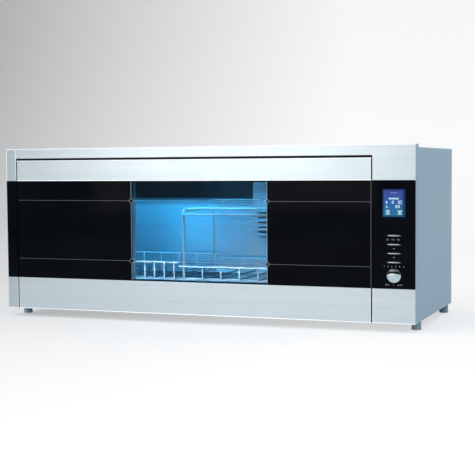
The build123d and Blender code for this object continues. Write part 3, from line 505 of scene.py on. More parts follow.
# the fascia's end faces are sprayed like the case, on each paint from this far out
sideCoat = {
    "dark": (0.28, 0.485, 0.645), "light": (0.31, 0.535, 0.705), "rough": 0.42,
    "reach": {"stainless": 0.4496, "paneBlack": 0.4496, "carrierPlastic": 0.4486},
}
for key, reach in sideCoat["reach"].items():
    paint = paints[key]
    tone, gloss = paint.fed("Base Color"), paint.fed("Roughness")
    ends = abs(paint.x) > reach
    coat = paint.blend(paint.noise(sprayCoat["clouds"], detail=4.0), sideCoat["dark"], sideCoat["light"])
    paint.feed({
        "Base Color": paint.blend(ends, tone, coat),
        "Roughness": gloss + (sideCoat["rough"] - gloss) * ends,
    })
    if key == "stainless":
        paint.feed({"Metallic": 1 - ends})

# circuit board: green lacquer over copper tracks that run both ways
board = {
    "green": (0.012, 0.085, 0.035), "copper": (0.05, 0.17, 0.07), "pitch": 0.0045, "track": 0.22,
    "lanes": 24.0, "rough": 0.35, "lacquer": 0.3, "dents": (0.3, 0.00005),
}
paint = Paint("boardGreen", {"Roughness": board["rough"], "Coat Weight": board["lacquer"]})
lane = paint.noise(board["lanes"], detail=1.0) > 0.5
across = (paint.x / board["pitch"]).math("FRACT") < board["track"]
upright = ((paint.y + paint.z) / board["pitch"]).math("FRACT") < board["track"]
track = across * lane + upright * (1 - lane)
paint.feed({
    "Base Color": paint.blend(track, board["green"], board["copper"]),
    "Normal": paint.dents(track, *board["dents"]),
})

# display: violet at the top, teal lower down, a dark rim where the backlight falls off
display = {
    "violet": (0.050, 0.070, 0.33), "blue": (0.020, 0.120, 0.38), "teal": (0.020, 0.19, 0.33),
    "rim": (0.004, 0.006, 0.05), "rimShare": 0.8, "sideRim": (0.82, 1.02), "endRim": (0.42, 0.5),
    "lit": 0.93, "clouds": 90.0, "uneven": 0.25, "base": (0.01, 0.02, 0.05), "rough": 0.12,
    "specular": 0.05, "strength": 0.85,
}
low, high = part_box("display_lens")
middle, tall = midway(low, high), high.z - low.z
litHalf = (high.x - low.x) * display["lit"] / 2
plain = {
    "Base Color": display["base"], "Roughness": display["rough"],
    "Specular IOR Level": display["specular"], "Emission Strength": display["strength"],
}
paint = Paint("displayGlow", plain)
rise = paint.z.ramp(low.z, high.z) + (paint.noise(display["clouds"]) - 0.5) * display["uneven"]
sideRim = abs(paint.x - low.x - litHalf).ramp(*(litHalf * share for share in display["sideRim"]))
endRim = abs(paint.z - middle[2]).ramp(*(tall * share for share in display["endRim"]))
rim = sideRim.math("MAXIMUM", endRim)
stops = [(0.1, display["teal"]), (0.5, display["blue"]), (0.9, display["violet"])]
tint = paint.node("ShaderNodeValToRGB", {"stops": stops}, {0: rise})
paint.feed({"Emission Color": paint.blend(rim * display["rimShare"], tint, display["rim"])})

# the backlight bleeds a little way into the black pane round the lens
black, white = (0.0, 0.0, 0.0), (1.0, 1.0, 1.0)
halo = {"reach": 0.006, "colour": (0.0, 0.0012, 0.016)}
paint = paints["paneBlack"].feed({"Emission Strength": 1.0})
past = [(abs(way - (near + far) / 2) - (far - near) / 2).math("MAXIMUM", 0.0)
        for way, near, far in ((paint.x, low.x, low.x + 2 * litHalf), (paint.z, low.z, high.z))]
glow = 1 - (past[0] * past[0] + past[1] * past[1]).math("SQRT").ramp(0.0, halo["reach"])
paint.feed({"Emission Color": paint.blend(glow * glow, black, halo["colour"])})

# lamp: quartz between two metal caps, coated in front so that it lights only the chamber behind it
lamp = {
    "colour": (0.02, 0.47, 1.0), "strength": 22.0, "cap": 0.0122, "open": (0.84, 0.54), "rough": 0.2,
    "capMetal": (0.72, 0.73, 0.75), "quartz": (0.55, 0.7, 0.9),
}
low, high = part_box("lamp_tube")
middle = midway(low, high)
paint = Paint("lampGlass", {"Roughness": lamp["rough"], "Emission Strength": lamp["strength"]})
inside = abs(paint.x - middle[0]) < (high.x - low.x) / 2 - lamp["cap"]
back = (paint.y - middle[1]) * lamp["open"][0] + (paint.z - middle[2]) * lamp["open"][1] > 0.0
paint.feed({
    "Base Color": paint.blend(inside, lamp["capMetal"], lamp["quartz"]),
    "Metallic": 1 - inside,
    "Emission Color": paint.blend(inside * back, black, lamp["colour"]),
})


# a slot's paint has the slot's name in camelCase; the tinted pane is black glass outside its window
def paintOf(slot):
    first, *rest = slot.replace("pane_tint", "pane_black").split("_")
    return paints[first + "".join(word.title() for word in rest)]


for part in frame["record"]["subparts"]:
    held = nodes[part["node"]]
    finish = paintOf(part["material_slot"]).material
    if held.material_slots:
        for place in held.material_slots:
            place.material = finish
    else:
        held.data.materials.append(finish)

# door pane: black printed glass either side of a clear window, each a bevelled plate
doorPane = {
    "bevel": 0.0005, "window": (-0.150, 0.150),
    "plates": [
        ("doorPaneLeft", "paneBlack", (True, False)), ("doorPaneWindow", "windowGlass", (False, False)),
        ("doorPaneRight", "paneBlack", (False, True)),
    ],
}
low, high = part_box("door_glass")
edges = [low.x, *doorPane["window"], high.x]
for number, (name, key, free) in enumerate(doorPane["plates"]):
    plate = bevelledPlate(edges[number:number + 2], (low.z, high.z), low.y, high.y, doorPane["bevel"], free)
    piece = addPiece(name, [plate], key, "door", crease=20)
    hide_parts("door_glass")
print("door pane: 3 plates")

# silver print on the pane: two long lines, its right edge, the window's edges, diamonds where these meet
lines = {
    "rows": (0.1270, 0.2526), "width": 0.0004, "edge": 0.0009, "inset": 0.0028, "end": 0.0006,
    "rowEnd": 0.0012, "side": (0.0010, 0.0005), "diamond": 0.0054, "ring": 0.0006, "plate": 0.00003,
    "proud": 0.00010, "sunk": 0.00005,
}
front, back = low.y - lines["proud"], low.y + lines["sunk"]
half, edge, gap, rows = lines["width"] / 2, lines["edge"] / 2, lines["diamond"], lines["rows"]
left, right = doorPane["window"]
foot, top = low.z + lines["end"], high.z - lines["end"]
rowBars = [(low.x + lines["inset"], row - half, left - gap, row + half) for row in rows]
rowBars += [(right + gap, row - half, high.x - lines["rowEnd"], row + half) for row in rows]
rowBars += [(high.x - lines["side"][0], foot, high.x - lines["side"][1], top)]
stops = [foot, rows[0] - gap, rows[0] + gap, rows[1] - gap, rows[1] + gap, top]
windowBars = [(x - edge, stops[n], x + edge, stops[n + 1]) for x in (left, right) for n in (0, 2, 4)]
windowBars += [(left + gap, row - half, right - gap, row + half) for row in rows]
angle = np.arange(4) * math.pi / 2
outward = lay(np.cos(angle), 0, np.sin(angle))
square = np.array([[-1, 0], [1, 0], [1, 1], [-1, 1]]) * [lines["ring"], back - front]
rings, fills = [], []
for x in (left, right):
    for row in rows:
        # diamond: a square section carried round four points, on the left over a black plate
        spots = np.array([x, front, row]) + outward * gap
        rings.append(carried(spots, outward, rearward, square, roundPath=True))
        if x == left:
            plate = np.concatenate([spots + rearward * lines["plate"], spots * [1, 0, 1] + rearward * back])
            fills.append((plate, tubeFaces(1, 2, 4)))
silver, pale = flatBars(rowBars, front, back), flatBars(windowBars, front, back)
addPiece("doorLines", [silver, *rings], "silverInk", "door")
addPiece("windowLines", [pale], "paleInk", "door")
addPiece("windowStuds", fills, "paneBlack", "door")

# polished rolled edges where the brushed sheets end: for each node, the sides of its front face
steelEdges = {
    "wide": 0.0016, "tall": 0.0003, "short": 0.0001,
    "cabinet": {
        "left_trim_upper": ("left", "right", "top"), "left_trim_lower": ("right", "bottom"),
        "top_rail": ("top",), "column_upper": ("top", "left"), "column_lower": ("left", "bottom"),
    },
    "door": {"door_top_strip": ("top", "bottom"), "door_bottom_strip": ("bottom",)},
}
half, short = steelEdges["wide"] / 2, steelEdges["short"]
for body in ("cabinet", "door"):
    starts, ends = [], []
    pairs = [(node, side) for node, sides in steelEdges[body].items() for side in sides]
    for node, side in pairs:
        low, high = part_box(node)
        x = {"left": [low.x + half], "right": [high.x - half]}.get(side, [low.x + short, high.x - short])
        z = {"top": [high.z - half], "bottom": [low.z + half]}.get(side, [low.z + short, high.z - short])
        starts.append((x[0], low.y, z[0]))
        ends.append((x[-1], low.y, z[-1]))
    edges = rolledEdges(starts, ends, steelEdges["wide"], steelEdges["tall"])
    addPiece(body + "SteelEdges", [edges], "steelEdge", body)
print("print and trim: lines, corner marks, rolled edges")

# finish of the slim keys: bright along their middle, with painted shade round it for dark reflections; the
# four stand one pitch apart
keyFinishAndShade = {
    "bright": (0.42, 0.47, 0.51), "smoke": (0.035, 0.042, 0.05), "shift": 0.0001,
    "band": (0.0005, 0.0012), "ends": (0.22, 0.5), "endShare": 0.9, "dull": 0.6, "rough": 0.18,
    "hair": (300.0, 900.0, 900.0), "hairGloss": 0.1, "specular": 0.12,
}
paint = Paint("keySilver", {"Specular IOR Level": keyFinishAndShade["specular"]})
low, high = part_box("mode_key")
middle, wide = midway(low, high), high.x - low.x
pitch = (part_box("timer_key")[0].z - low.z) / 3
above = ((paint.z - middle[2]) / pitch + 0.5).math("FRACT") - 0.5
shade = abs(above + keyFinishAndShade["shift"] / pitch).ramp(*(z / pitch for z in keyFinishAndShade["band"]))
ends = abs(paint.x - middle[0]).ramp(*(wide * share for share in keyFinishAndShade["ends"]))
shade = shade.math("MAXIMUM", ends * keyFinishAndShade["endShare"])
hair = paint.noise(keyFinishAndShade["hair"])
# painted shade above, below and at the ends of each key's bright middle
paint.feed({
    "Base Color": paint.blend(shade, keyFinishAndShade["bright"], keyFinishAndShade["smoke"]),
    "Metallic": 1 - shade * keyFinishAndShade["dull"],
    "Roughness": keyFinishAndShade["rough"] + hair * keyFinishAndShade["hairGloss"],
})

# slim keys: at each share s of the length a half ellipse of height (1 - s squared), walls into the slot
slimKey = {"steps": 25, "arc": 13, "tall": 0.0026, "low": 0.25, "blunt": 8, "sink": 0.0042}
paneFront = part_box("control_panel")[0].y
s = np.sin(np.linspace(-1, 1, slimKey["steps"]) * math.pi / 2)[:, None]
a = np.linspace(0, math.pi, slimKey["arc"])[None]
tall = slimKey["tall"] * (1 - s ** 2)
crown = (slimKey["low"] + (1 - slimKey["low"]) * np.sqrt(1 - s ** 2)) * (1 - s ** slimKey["blunt"])
z = np.concatenate([tall * np.cos(a), -tall, tall], 1)
inSlot = paneFront + slimKey["sink"] + 0 * s
for name in ("timer_key", "up_key", "down_key", "mode_key"):
    low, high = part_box(name)
    middle, reach = midway(low, high), (high.x - low.x) / 2
    y = np.concatenate([paneFront - (paneFront - low.y) * crown * np.sin(a), inSlot, inSlot], 1)
    points = lay(middle[0] + reach * s, y, middle[2] + z)
    faces = [gridFaces(slimKey["steps"], slimKey["arc"] + 2)]
    piece = addPiece(name + ".crown", [(points, faces)], "keySilver", name, crease=50)
    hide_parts(name)

# finish of the power button: a crescent of painted shade at its top for a dark reflection, with a dim ring
# round it and a painted glint in it
powerFinishAndReflections = {
    "bright": (0.47, 0.575, 0.635), "smoke": (0.006, 0.007, 0.010), "from": 0.0042, "bow": 14.0,
    "disc": 0.0126, "facet": (0.0088, 0.0110), "shares": (0.80, 0.20, 0.5), "rough": 0.2, "hair": 900.0,
    "hairGloss": 0.1, "smokeGloss": 0.12, "specular": 0.12,
}
low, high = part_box("power_button")
middle = midway(low, high)
paint = Paint("domeChrome", {"Specular IOR Level": powerFinishAndReflections["specular"]})
rise, side = paint.z - middle[2], paint.x - middle[0]
inDisc = (rise * rise + side * side).math("SQRT") < powerFinishAndReflections["disc"]
facet = inDisc * (rise > powerFinishAndReflections["facet"][0]) * (rise < powerFinishAndReflections["facet"][1])
ringShare, discShare, glintShare = powerFinishAndReflections["shares"]
# painted shade above a bowed line for a dark reflection, dimmer on the ring, lifted by the painted glint
smoke = rise + side * side * powerFinishAndReflections["bow"] > powerFinishAndReflections["from"]
smoke = smoke * (ringShare + inDisc * discShare - facet * glintShare)
hair = paint.noise(powerFinishAndReflections["hair"])
paint.feed({
    "Base Color": paint.blend(smoke, powerFinishAndReflections["bright"], powerFinishAndReflections["smoke"]),
    "Metallic": 1 - smoke,
    "Roughness": powerFinishAndReflections["rough"] + hair * powerFinishAndReflections["hairGloss"] - smoke * powerFinishAndReflections["smokeGloss"],
})

# power button: a low dome turned from an arc, a rounded rim and a straight skirt
power = {
    "radius": 0.0138, "dome": 0.0022, "domeShare": 0.975, "rim": 0.0006, "rimFrom": 0.4, "skirt": 0.0070,
    "sides": 64,
}
radius, dome, rim = power["radius"], power["dome"], power["rim"]
bend = (radius ** 2 + dome ** 2) / (2 * dome)
r = radius * np.sin(quarter(14)) * power["domeShare"]
cap = lay(r, bend - np.sqrt(bend ** 2 - r ** 2))
turn = np.linspace(power["rimFrom"], math.pi / 2, 5)
lip = lay(radius - rim + rim * np.sin(turn), dome + rim - rim * np.cos(turn))
profile = np.concatenate([cap, lip, [[radius, power["skirt"]], [0, power["skirt"]]]])
button = turned(profile, (middle[0], low.y, middle[2]), rearward, sideward, power["sides"])
piece = addPiece("powerDome", [button], "domeChrome", "power_button", crease=50)
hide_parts("power_button")
print("keys: 4 crowns and a dome")

# display marks: bars of light (x0, z0, x1, z1), in shares of the screen across and up; rows are a count, a
# step and the first bar, figures a foot, a height, and each number with its place
screen = {
    "out": 0.00006, "sunk": 0.00005, "wide": 0.095, "stroke": 0.026, "split": 0.12,
    "rows": [(6, 0.085, (0.30, 0.675, 0.345, 0.70)), (3, 0.12, (0.40, 0.86, 0.44, 0.885))],
    "figures": [
        (0.475, 0.115, ((1, 0.32), (2, 0.44), (3, 0.72), (0, 0.83))),
        (0.325, 0.105, ((6, 0.60), (5, 0.72))),
    ],
    "signs": [
        (0.28, 0.635, 0.76, 0.675), (0.16, 0.475, 0.20, 0.58), (0.13, 0.51, 0.23, 0.54),
        (0.17, 0.325, 0.21, 0.42), (0.15, 0.325, 0.23, 0.355), (0.14, 0.09, 0.34, 0.125),
        (0.17, 0.145, 0.31, 0.175), (0.14, 0.195, 0.34, 0.225), (0.19, 0.225, 0.29, 0.25),
        (0.72, 0.09, 0.92, 0.12), (0.70, 0.20, 0.94, 0.23), (0.77, 0.12, 0.87, 0.155),
        (0.74, 0.17, 0.90, 0.20),
    ],
}
litBars = ["1110111", "0010010", "1011101", "1011011", "0111010",
           "1101011", "1101111", "1010010", "1111111", "1111011"]  # for the figures 0 to 9


# seven bars of a figure in a cell: top, upper left, upper right, middle, lower left, lower right, foot
def figure(number, x, foot, h):
    w, t = screen["wide"], screen["stroke"]
    middle, top, gap = foot + (h - t) / 2, foot + h - t, screen["split"] * t
    upper, lower = (middle + t + gap, top - gap), (foot + t + gap, middle - gap)
    near, far = (x, x + t), (x + w - t, x + w)
    sides = [(way[0], level[0], way[1], level[1]) for level in (upper, lower) for way in (near, far)]
    level = [(x, z, x + w, z + t) for z in (top, middle, foot)]
    bars = [level[0], *sides[:2], level[1], *sides[2:], level[2]]
    return [bar for bar, lit in zip(bars, litBars[number]) if lit == "1"]


screenBars = list(screen["signs"])
for count, step, (x0, z0, x1, z1) in screen["rows"]:
    screenBars += [(x0 + step * n, z0, x1 + step * n, z1) for n in range(count)]
for foot, h, numbers in screen["figures"]:
    for number, x in numbers:
        screenBars += figure(number, x, foot, h)
low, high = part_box("display_lens")
wide, tall = (high.x - low.x) * display["lit"], high.z - low.z
screenBars = np.array(screenBars) * (wide, tall, wide, tall) + (low.x, low.z, low.x, low.z)
marks = flatBars(screenBars, low.y - screen["out"], low.y + screen["sunk"])
piece = addPiece("displayFigures", [marks], "glowInk", "cabinet")

# print under the keys: plain figures, arrows and the switch words; (piece, words, node, shift, drop)
keyPrint = {
    "size": 0.0042, "spread": 1.5, "thick": 0.00005, "smooth": 3, "front": 0.00006, "sunk": 0.00004,
    "drop": 0.0078,
    "words": [
        ("printTimer", "30  60  90", "timer_key", -0.0022, 0.0078),
        ("printMode", "1  2  3  4  5  6", "mode_key", 0.0, 0.0078),
        ("printSwitch", "ON   /   OFF", "power_button", 0.0, 0.0182),
    ],
    "arrows": [("up_key", 1), ("down_key", -1)], "arrowHalf": 0.0016, "arrowFoot": -0.0009,
    "arrowTip": 0.0013,
}
low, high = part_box("control_panel")
columnMid = (low.x + high.x) / 2


# words as a thin flat mesh, stood up against the fascia
def textMesh(words, x, y, z):
    curve = bpy.data.curves.new("print", "FONT")
    curve.body, curve.align_x, curve.align_y = words, "CENTER", "CENTER"
    curve.size, curve.space_character = keyPrint["size"], keyPrint["spread"]
    curve.extrude, curve.resolution_u = keyPrint["thick"], keyPrint["smooth"]
    holder = bpy.data.objects.new("print", curve)
    scene.collection.objects.link(holder)
    mesh = bpy.data.meshes.new_from_object(holder.evaluated_get(bpy.context.evaluated_depsgraph_get()))
    bpy.data.objects.remove(holder)
    mesh.transform(Matrix.Translation((x, y, z)) @ Matrix.Rotation(math.pi / 2, 4, "X"))
    return mesh


for name, words, node, shift, drop in keyPrint["words"]:
    mesh = textMesh(words, columnMid + shift, low.y, midway(*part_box(node))[2] - drop)
    placeMesh(name, mesh, "whiteInk", "cabinet")
parts = []
for node, way in keyPrint["arrows"]:
    # arrow: a small three-sided plate
    x = columnMid + np.array([-1, 1, 0]) * keyPrint["arrowHalf"]
    rise = np.array([keyPrint["arrowFoot"], keyPrint["arrowFoot"], keyPrint["arrowTip"]])
    y = np.array([[low.y - keyPrint["front"]], [low.y + keyPrint["sunk"]]])
    points = lay(x, y, midway(*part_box(node))[2] - keyPrint["drop"] + rise * way)
    parts.append((points, tubeFaces(1, 2, 3)))
addPiece("printArrows", parts, "whiteInk", "cabinet")
print("display and print: figures, arrows, words")

# door seal: a soft bulb on a flat foot, its section carried round the chamber mouth
sealShape = {
    "bulb": 0.0021, "arc": (-35, 215), "steps": 15, "inset": 0.003, "corner": 0.009,
    "foot": [
        (-0.0022, 0.0009), (-0.0030, 0.0006), (-0.0030, 0), (0.0030, 0), (0.0030, 0.0006),
        (0.0022, 0.0009),
    ],
}
low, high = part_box("door_seal")
deep, inset, bulb = high.y - low.y, sealShape["inset"], sealShape["bulb"]
x, z = (low.x + inset, high.x - inset), (low.z + inset, high.z - inset)
loop, outward = roundedLoop(x, z, sealShape["corner"], low.y)
angle = np.linspace(*np.radians(sealShape["arc"]), sealShape["steps"])
section = lay(bulb * np.cos(angle), deep - bulb + bulb * np.sin(angle))
section = np.concatenate([section, sealShape["foot"]])
soft = carried(loop, outward, rearward, section, roundPath=True)
piece = addPiece("sealBulb", [soft], "sealGrey", "door", crease=40)
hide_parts("door_seal")

# lower rack: rails, fence posts and floor wires, in metres as they stand in the chamber
lowRack = {
    "x": (-0.408, 0.347), "y": (-0.116, 0.126), "z": 0.0824, "midY": (-0.080, 0.090), "rail": 0.0020,
    "wire": 0.0015, "post": 0.00355, "floorInset": 0.0052, "fineTop": 0.1200, "coarseTop": 0.1116,
    "split": -0.0755, "gap": 0.0001, "fine": -0.087 - 0.0228 * np.arange(14),
    "coarse": -0.021 + 0.0415 * np.arange(9), "railSides": 12,
}
left, right = lowRack["x"]
front, back = lowRack["y"]
rail, wire, post, inset = (lowRack[key] for key in ("rail", "wire", "post", "floorInset"))
rails = [((left, right), y, lowRack["z"]) for y in (front, back, *lowRack["midY"])]
rails += [((left, lowRack["split"] - lowRack["gap"]), y, lowRack["fineTop"]) for y in (front, back)]
rails += [((lowRack["split"], right), y, lowRack["coarseTop"]) for y in (front, back)]
starts, ends = [[(x[end], y, z) for x, y, z in rails] for end in (0, 1)]
parts = [straightWires(starts, ends, rail, lowRack["railSides"])]
footZ, floorZ = lowRack["z"] - rail, lowRack["z"] + post
for xs, top in ((lowRack["fine"], lowRack["fineTop"]), (lowRack["coarse"], lowRack["coarseTop"])):
    for spots, y in ((xs, front + post), (xs[::2], back - post)):
        parts.append(straightWires(lay(spots, y, footZ), lay(spots, y, top + rail), wire))
    parts.append(straightWires(lay(xs, front + inset, floorZ), lay(xs, back - inset, floorZ), wire))
piece = addPiece("lowerRackWires", parts, "rackWire", "cabinet", crease=60)
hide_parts("lower_rack")

# upper rack: two bent end frames, a round section along legs and quarter bends, shelf wires and a guard
topRack = {
    "x": (-0.078, 0.323), "legY": (-0.080, 0.090), "legZ": 0.0844, "top": 0.2285, "bend": 0.008,
    "frameWire": 0.0025, "frameSides": 12, "shelfY": np.linspace(-0.065, 0.075, 7), "shelfZ": 0.23255,
    "wire": 0.0015, "rail": 0.0020, "railSides": 12, "frontRail": (-0.08455, 0.2205), "guardY": 0.075,
    "guardZ": (0.2341, 0.24755), "posts": np.linspace(-0.048, 0.293, 5),
}
(front, back), bend, wire = topRack["legY"], topRack["bend"], topRack["wire"]
turn = quarter(8)
bendOne = lay(front + bend * (1 - np.cos(turn)), topRack["top"] - bend * (1 - np.sin(turn)))
bendTwo = lay(back - bend * (1 - np.sin(turn)), topRack["top"] - bend * (1 - np.cos(turn)))
route = np.concatenate([[[front, topRack["legZ"]]], bendOne, bendTwo, [[back, topRack["legZ"]]]])
lean = np.concatenate([[0.0], turn, math.pi / 2 + turn, [math.pi]])
normal = lay(0, -np.cos(lean), np.sin(lean))
angle = np.arange(topRack["frameSides"]) * 2 * math.pi / topRack["frameSides"]
circle = lay(np.cos(angle), np.sin(angle)) * topRack["frameWire"]
parts = [carried(lay(x, route[:, 0], route[:, 1]), sideward, normal, circle) for x in topRack["x"]]
left, right = topRack["x"][0] - topRack["frameWire"], topRack["x"][1] + topRack["frameWire"]
y = np.append(topRack["shelfY"], topRack["guardY"])
z = np.append(np.full(len(topRack["shelfY"]), topRack["shelfZ"]), topRack["guardZ"][1])
parts.append(straightWires(lay(left, y, z), lay(right, y, z), wire))
y, z = topRack["frontRail"]
parts.append(straightWires(lay(left, y, z), lay(right, y, z), topRack["rail"], topRack["railSides"]))
xs, y, (foot, top) = topRack["posts"], topRack["guardY"], topRack["guardZ"]
parts.append(straightWires(lay(xs, y, foot), lay(xs, y, top - wire), wire))
piece = addPiece("upperRackWires", parts, "shelfWire", "cabinet", crease=60)
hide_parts("upper_rack")
print("racks and seal: round wires, bent frames, soft bulb")

# feet: turned rubber with a hollow underside, a rounded tread and a shallow waist
foot = {
    "radius": 0.0096, "tread": 0.0014, "hollow": [(0, 0.0002), (0.0055, 0.0002), (0.0058, 0)],
    "waist": 0.0007, "waistZ": (0.0060, 0.0068, 0.0085, 0.0093), "tall": 0.0180, "sides": 40,
}
radius, narrow, turn = foot["radius"], foot["radius"] - foot["waist"], quarter(6)
tread = lay(radius - foot["tread"] * (1 - np.sin(turn)), foot["tread"] * (1 - np.cos(turn)))
waist = lay([radius, narrow, narrow, radius], foot["waistZ"])
profile = np.concatenate([foot["hollow"], tread, waist, [[radius, foot["tall"]], [0, foot["tall"]]]])
low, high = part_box("feet")
spots = [(x, y, 0) for x in (low.x + radius, high.x - radius) for y in (low.y + radius, high.y - radius)]
parts = [turned(profile, spot, upward, sideward, foot["sides"]) for spot in spots]
piece = addPiece("feetTurned", parts, "rubberDark", "cabinet")
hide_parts("feet")

# cord gland: a turned bush with a rounded flange and a flared bore
gland = {"bore": 0.0040, "neck": 0.0065, "flange": 0.0090, "seat": 0.0050, "round": 0.0006, "flare": 0.0014}
low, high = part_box("cord_gland")
middle, deep, turn = midway(low, high), high.y - low.y, quarter(5)
bore, neck, flange = gland["bore"], gland["neck"], gland["flange"]
lip = lay(flange - gland["round"] * (1 - np.cos(turn)), deep - gland["round"] * (1 - np.sin(turn)))
mouth = lay(bore + gland["flare"] * (1 - np.sin(turn)), deep - gland["flare"] * (1 - np.cos(turn)))
stem = [[bore, 0], [neck, 0], [neck, gland["seat"]], [flange, gland["seat"]]]
profile = np.concatenate([stem, lip, mouth, [[bore, 0]]])
bush = turned(profile, (middle[0], low.y, middle[2]), rearward, sideward)
piece = addPiece("glandTurned", [bush], "rubberDark", "cabinet")
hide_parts("cord_gland")

# rear panel: turned pan-head screws round its edge, with a driver recess (two radii and its floor's height)
rear = {
    "inset": 0.007, "head": 0.0032, "tall": 0.0015, "rim": 0.0003, "recess": (0.0013, 0.0010, 0.0008),
    "sides": 14, "across": 7, "up": 4,
}
low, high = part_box("rear_panel")
xs = np.linspace(low.x + rear["inset"], high.x - rear["inset"], rear["across"])
zs = np.linspace(low.z + rear["inset"], high.z - rear["inset"], rear["up"])
spots = [(x, z) for x in xs for z in (zs[0], zs[-1])]
spots += [(x, z) for x in (xs[0], xs[-1]) for z in zs[1:-1]]
turn, tall, rim = quarter(5), rear["tall"], rear["rim"]
head = lay(rear["head"] * np.cos(turn), rim + (tall - rim) * np.sin(turn))[:-1]
wide, narrow, floor = rear["recess"]
recess = [[wide, tall], [narrow, floor], [0, floor]]
profile = np.concatenate([[[0, -seat], [rear["head"], -seat]], head, recess])
parts = [turned(profile, (x, high.y, z), rearward, sideward, rear["sides"]) for x, z in spots]
piece = addPiece("rearScrews", parts, "hingeSteel", "cabinet")

# pressed hoods over the air slots: across s a quarter arch stands out by (1 - s to the eighth), and an
# inner arch gives it its wall
hood = {
    "slots": [(0.095, 0.193), (0.3965, 0.193)], "rows": 6, "pitch": 0.011, "half": 0.0335, "rise": 0.0036,
    "out": 0.0017, "wall": 0.0006, "drop": 0.0004, "blunt": 8, "steps": 17, "arc": 7,
}
s = np.linspace(-1, 1, hood["steps"])[:, None]
a, wall = quarter(hood["arc"])[None], hood["wall"]
bulge = (1 - s ** hood["blunt"]) * (hood["out"] - wall) + wall
outerZ, outerY = hood["rise"] * np.cos(a) + 0 * s, bulge * np.sin(a)
a = a[:, ::-1]
innerZ, innerY = (hood["rise"] - wall) * np.cos(a) + 0 * s, (bulge - wall) * np.sin(a) - seat
y, rise = high.y + np.concatenate([outerY, innerY], 1), np.concatenate([outerZ, innerZ], 1)
hoods = []
for x, z in hood["slots"]:
    for level in z + (np.arange(hood["rows"]) - (hood["rows"] - 1) / 2) * hood["pitch"]:
        points = lay(x + hood["half"] * s, y, level - hood["drop"] + rise)
        hoods.append((points, tubeFaces(1, hood["steps"], 2 * hood["arc"])))
addPiece("rearHoods", hoods, "casePaint", "cabinet", crease=50)

# stiffening beads pressed into the rear panel: a low arch (1 - u squared) carried round rounded rectangles
bead = {
    "fields": [(-0.405, -0.205), (-0.175, 0.025), (0.165, 0.325)], "z": (0.075, 0.305), "corner": 0.022,
    "half": 0.0035, "tall": 0.0012, "steps": 9,
}
u = np.linspace(-1, 1, bead["steps"])
arch = lay(u * bead["half"], bead["tall"] * (1 - u ** 2))
arch = np.concatenate([arch, [[bead["half"], -seat], [-bead["half"], -seat]]])
beads = []
for x in bead["fields"]:
    loop, outward = roundedLoop(x, bead["z"], bead["corner"], high.y)
    beads.append(carried(loop, outward, rearward, arch, roundPath=True))
addPiece("rearBeads", beads, "casePaint", "cabinet", crease=50)
print("feet, rear screws, hoods and beads:", len(spots), "screws", len(hoods), "hoods", len(beads), "beads")

# camera, from the fit to the photographed corners
camera = {
    "spot": (0.918154, -2.351281, 0.324496), "yaw": 21.0007, "pitch": 3.5753, "roll": -0.4234,
    "lens": 87.44, "sensor": 36.0, "clip": (0.05, 60.0),
}
yaw, pitch, roll = (math.radians(camera[key]) for key in ("yaw", "pitch", "roll"))
ahead = Vector((-math.sin(yaw) * math.cos(pitch), math.cos(yaw) * math.cos(pitch), -math.sin(pitch)))
level = Vector((math.cos(yaw), math.sin(yaw), 0))
above = level.cross(ahead)
right = level * math.cos(roll) + above * math.sin(roll)
up = above * math.cos(roll) - level * math.sin(roll)
data = bpy.data.cameras.new("camera")
data.lens, data.sensor_width = camera["lens"], camera["sensor"]
data.clip_start, data.clip_end = camera["clip"]
eye = bpy.data.objects.new("camera", data)
scene.collection.objects.link(eye)
eye.matrix_world = Matrix((*zip(right, up, -ahead, camera["spot"]), (0, 0, 0, 1)))
scene.camera = eye

# studio: a pale sweep, soft boxes (name, spot, aim, size, watts, colour) and an even sky
studio = {
    "pale": (0.52, 0.525, 0.53), "lift": 0.58, "sky": (0.97, 0.985, 1.0), "skyStrength": 0.80,
    "boxes": [
        ("front", (-0.90, -2.7, 0.72), (-0.05, 0, 0.25), (1.25, 1.2), 9.0, (1, 0.955, 0.905)),
        ("key", (-1.3, -1.6, 2.2), (0, 0, 0.2), (2.4, 1.6), 12.0, (1, 1, 1)),
        ("lamp", (-0.17, -0.109, 0.3035), (-0.17, 0.16, 0.13), (0.46, 0.006), 3.8, lamp["colour"]),
        ("fillTop", (-0.02, -0.157, 0.303), (-0.02, -0.085, 0.11), (0.44, 0.008), 0.30, (0.85, 0.86, 1.0)),
        ("fillLow", (-0.02, -0.159, 0.104), (-0.02, -0.112, 0.101), (0.44, 0.010), 0.55, (0.60, 0.88, 1.0)),
        ("fillLeft", (-0.29, -0.150, 0.17), (0.02, 0.03, 0.13), (0.03, 0.16), 0.8, (0.04, 0.50, 1.0)),
    ],
}

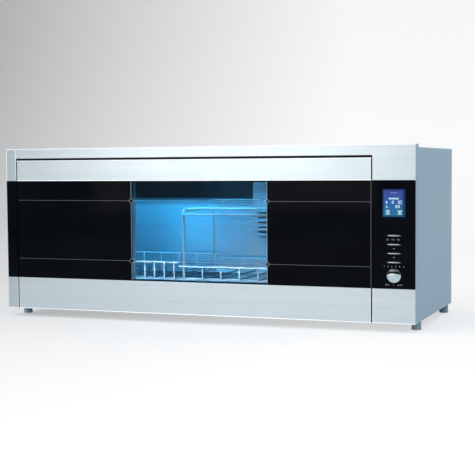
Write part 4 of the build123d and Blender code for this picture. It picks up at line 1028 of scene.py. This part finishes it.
# sweep: a floor turned up into a wall by a quarter arc; where it is seen it is lifted, more to the right
sweep = {
    "reach": 24.0, "bendY": 2.0, "bend": 1.2, "top": 5.0, "rough": 0.85, "specular": 0.1, "clouds": 0.8,
    "dim": 0.97, "turn": (0.5, 2.0), "turnShare": 0.9, "fall": (-2.0, 0.3), "least": 0.07,
}
turn, far, bend = quarter(12), sweep["reach"], sweep["bend"]
arc = lay(sweep["bendY"] + bend * np.sin(turn), bend * (1 - np.cos(turn)))
profile = np.concatenate([[[-far, 0]], arc, [[sweep["bendY"] + bend, sweep["top"]]]])
points = lay([[-far, far]], profile[:, :1], profile[:, 1:])
mesh = bpy.data.meshes.new("sweep")
mesh.from_pydata(points.tolist(), [], gridFaces(len(profile), 2, False, False)[:, ::-1].tolist())
mesh.shade_smooth()
floor = bpy.data.objects.new("sweep", mesh)
scene.collection.objects.link(floor)
plain = {
    "Roughness": sweep["rough"], "Specular IOR Level": sweep["specular"],
    "Emission Strength": studio["lift"],
}
paper = Paint("paper", plain)
cloud = paper.noise(sweep["clouds"])
rays = ("Is Camera Ray", "Is Glossy Ray", "Is Transmission Ray")
seen = [paper.node("ShaderNodeLightPath", out=ray) for ray in rays]
seen = (seen[0] + seen[1] + seen[2]).math("MINIMUM", 1.0)
side = (paper.x + paper.y.ramp(*sweep["turn"]) * sweep["turnShare"]).ramp(*sweep["fall"])
paper.feed({
    "Base Color": paper.blend(cloud, scaled(studio["pale"], sweep["dim"]), studio["pale"]),
    "Emission Color": paper.blend(seen * (side * (1 - sweep["least"]) + sweep["least"]), black, white),
})
mesh.materials.append(paper.material)
for name, spot, aim, size, watts, colour in studio["boxes"]:
    data = bpy.data.lights.new(name, "AREA")
    data.shape, data.size, data.size_y, data.energy, data.color = "RECTANGLE", *size, watts, colour
    box = bpy.data.objects.new(name, data)
    box.location = spot
    box.rotation_euler = (Vector(aim) - Vector(spot)).to_track_quat("-Z", "Y").to_euler()
    scene.collection.objects.link(box)
scene.world = bpy.data.worlds.new("sky")
scene.world.use_nodes = True
sky = scene.world.node_tree.nodes["Background"]
sky.inputs["Color"].default_value = (*studio["sky"], 1)
sky.inputs["Strength"].default_value = studio["skyStrength"]
print("studio:", len(studio["boxes"]), "soft boxes")
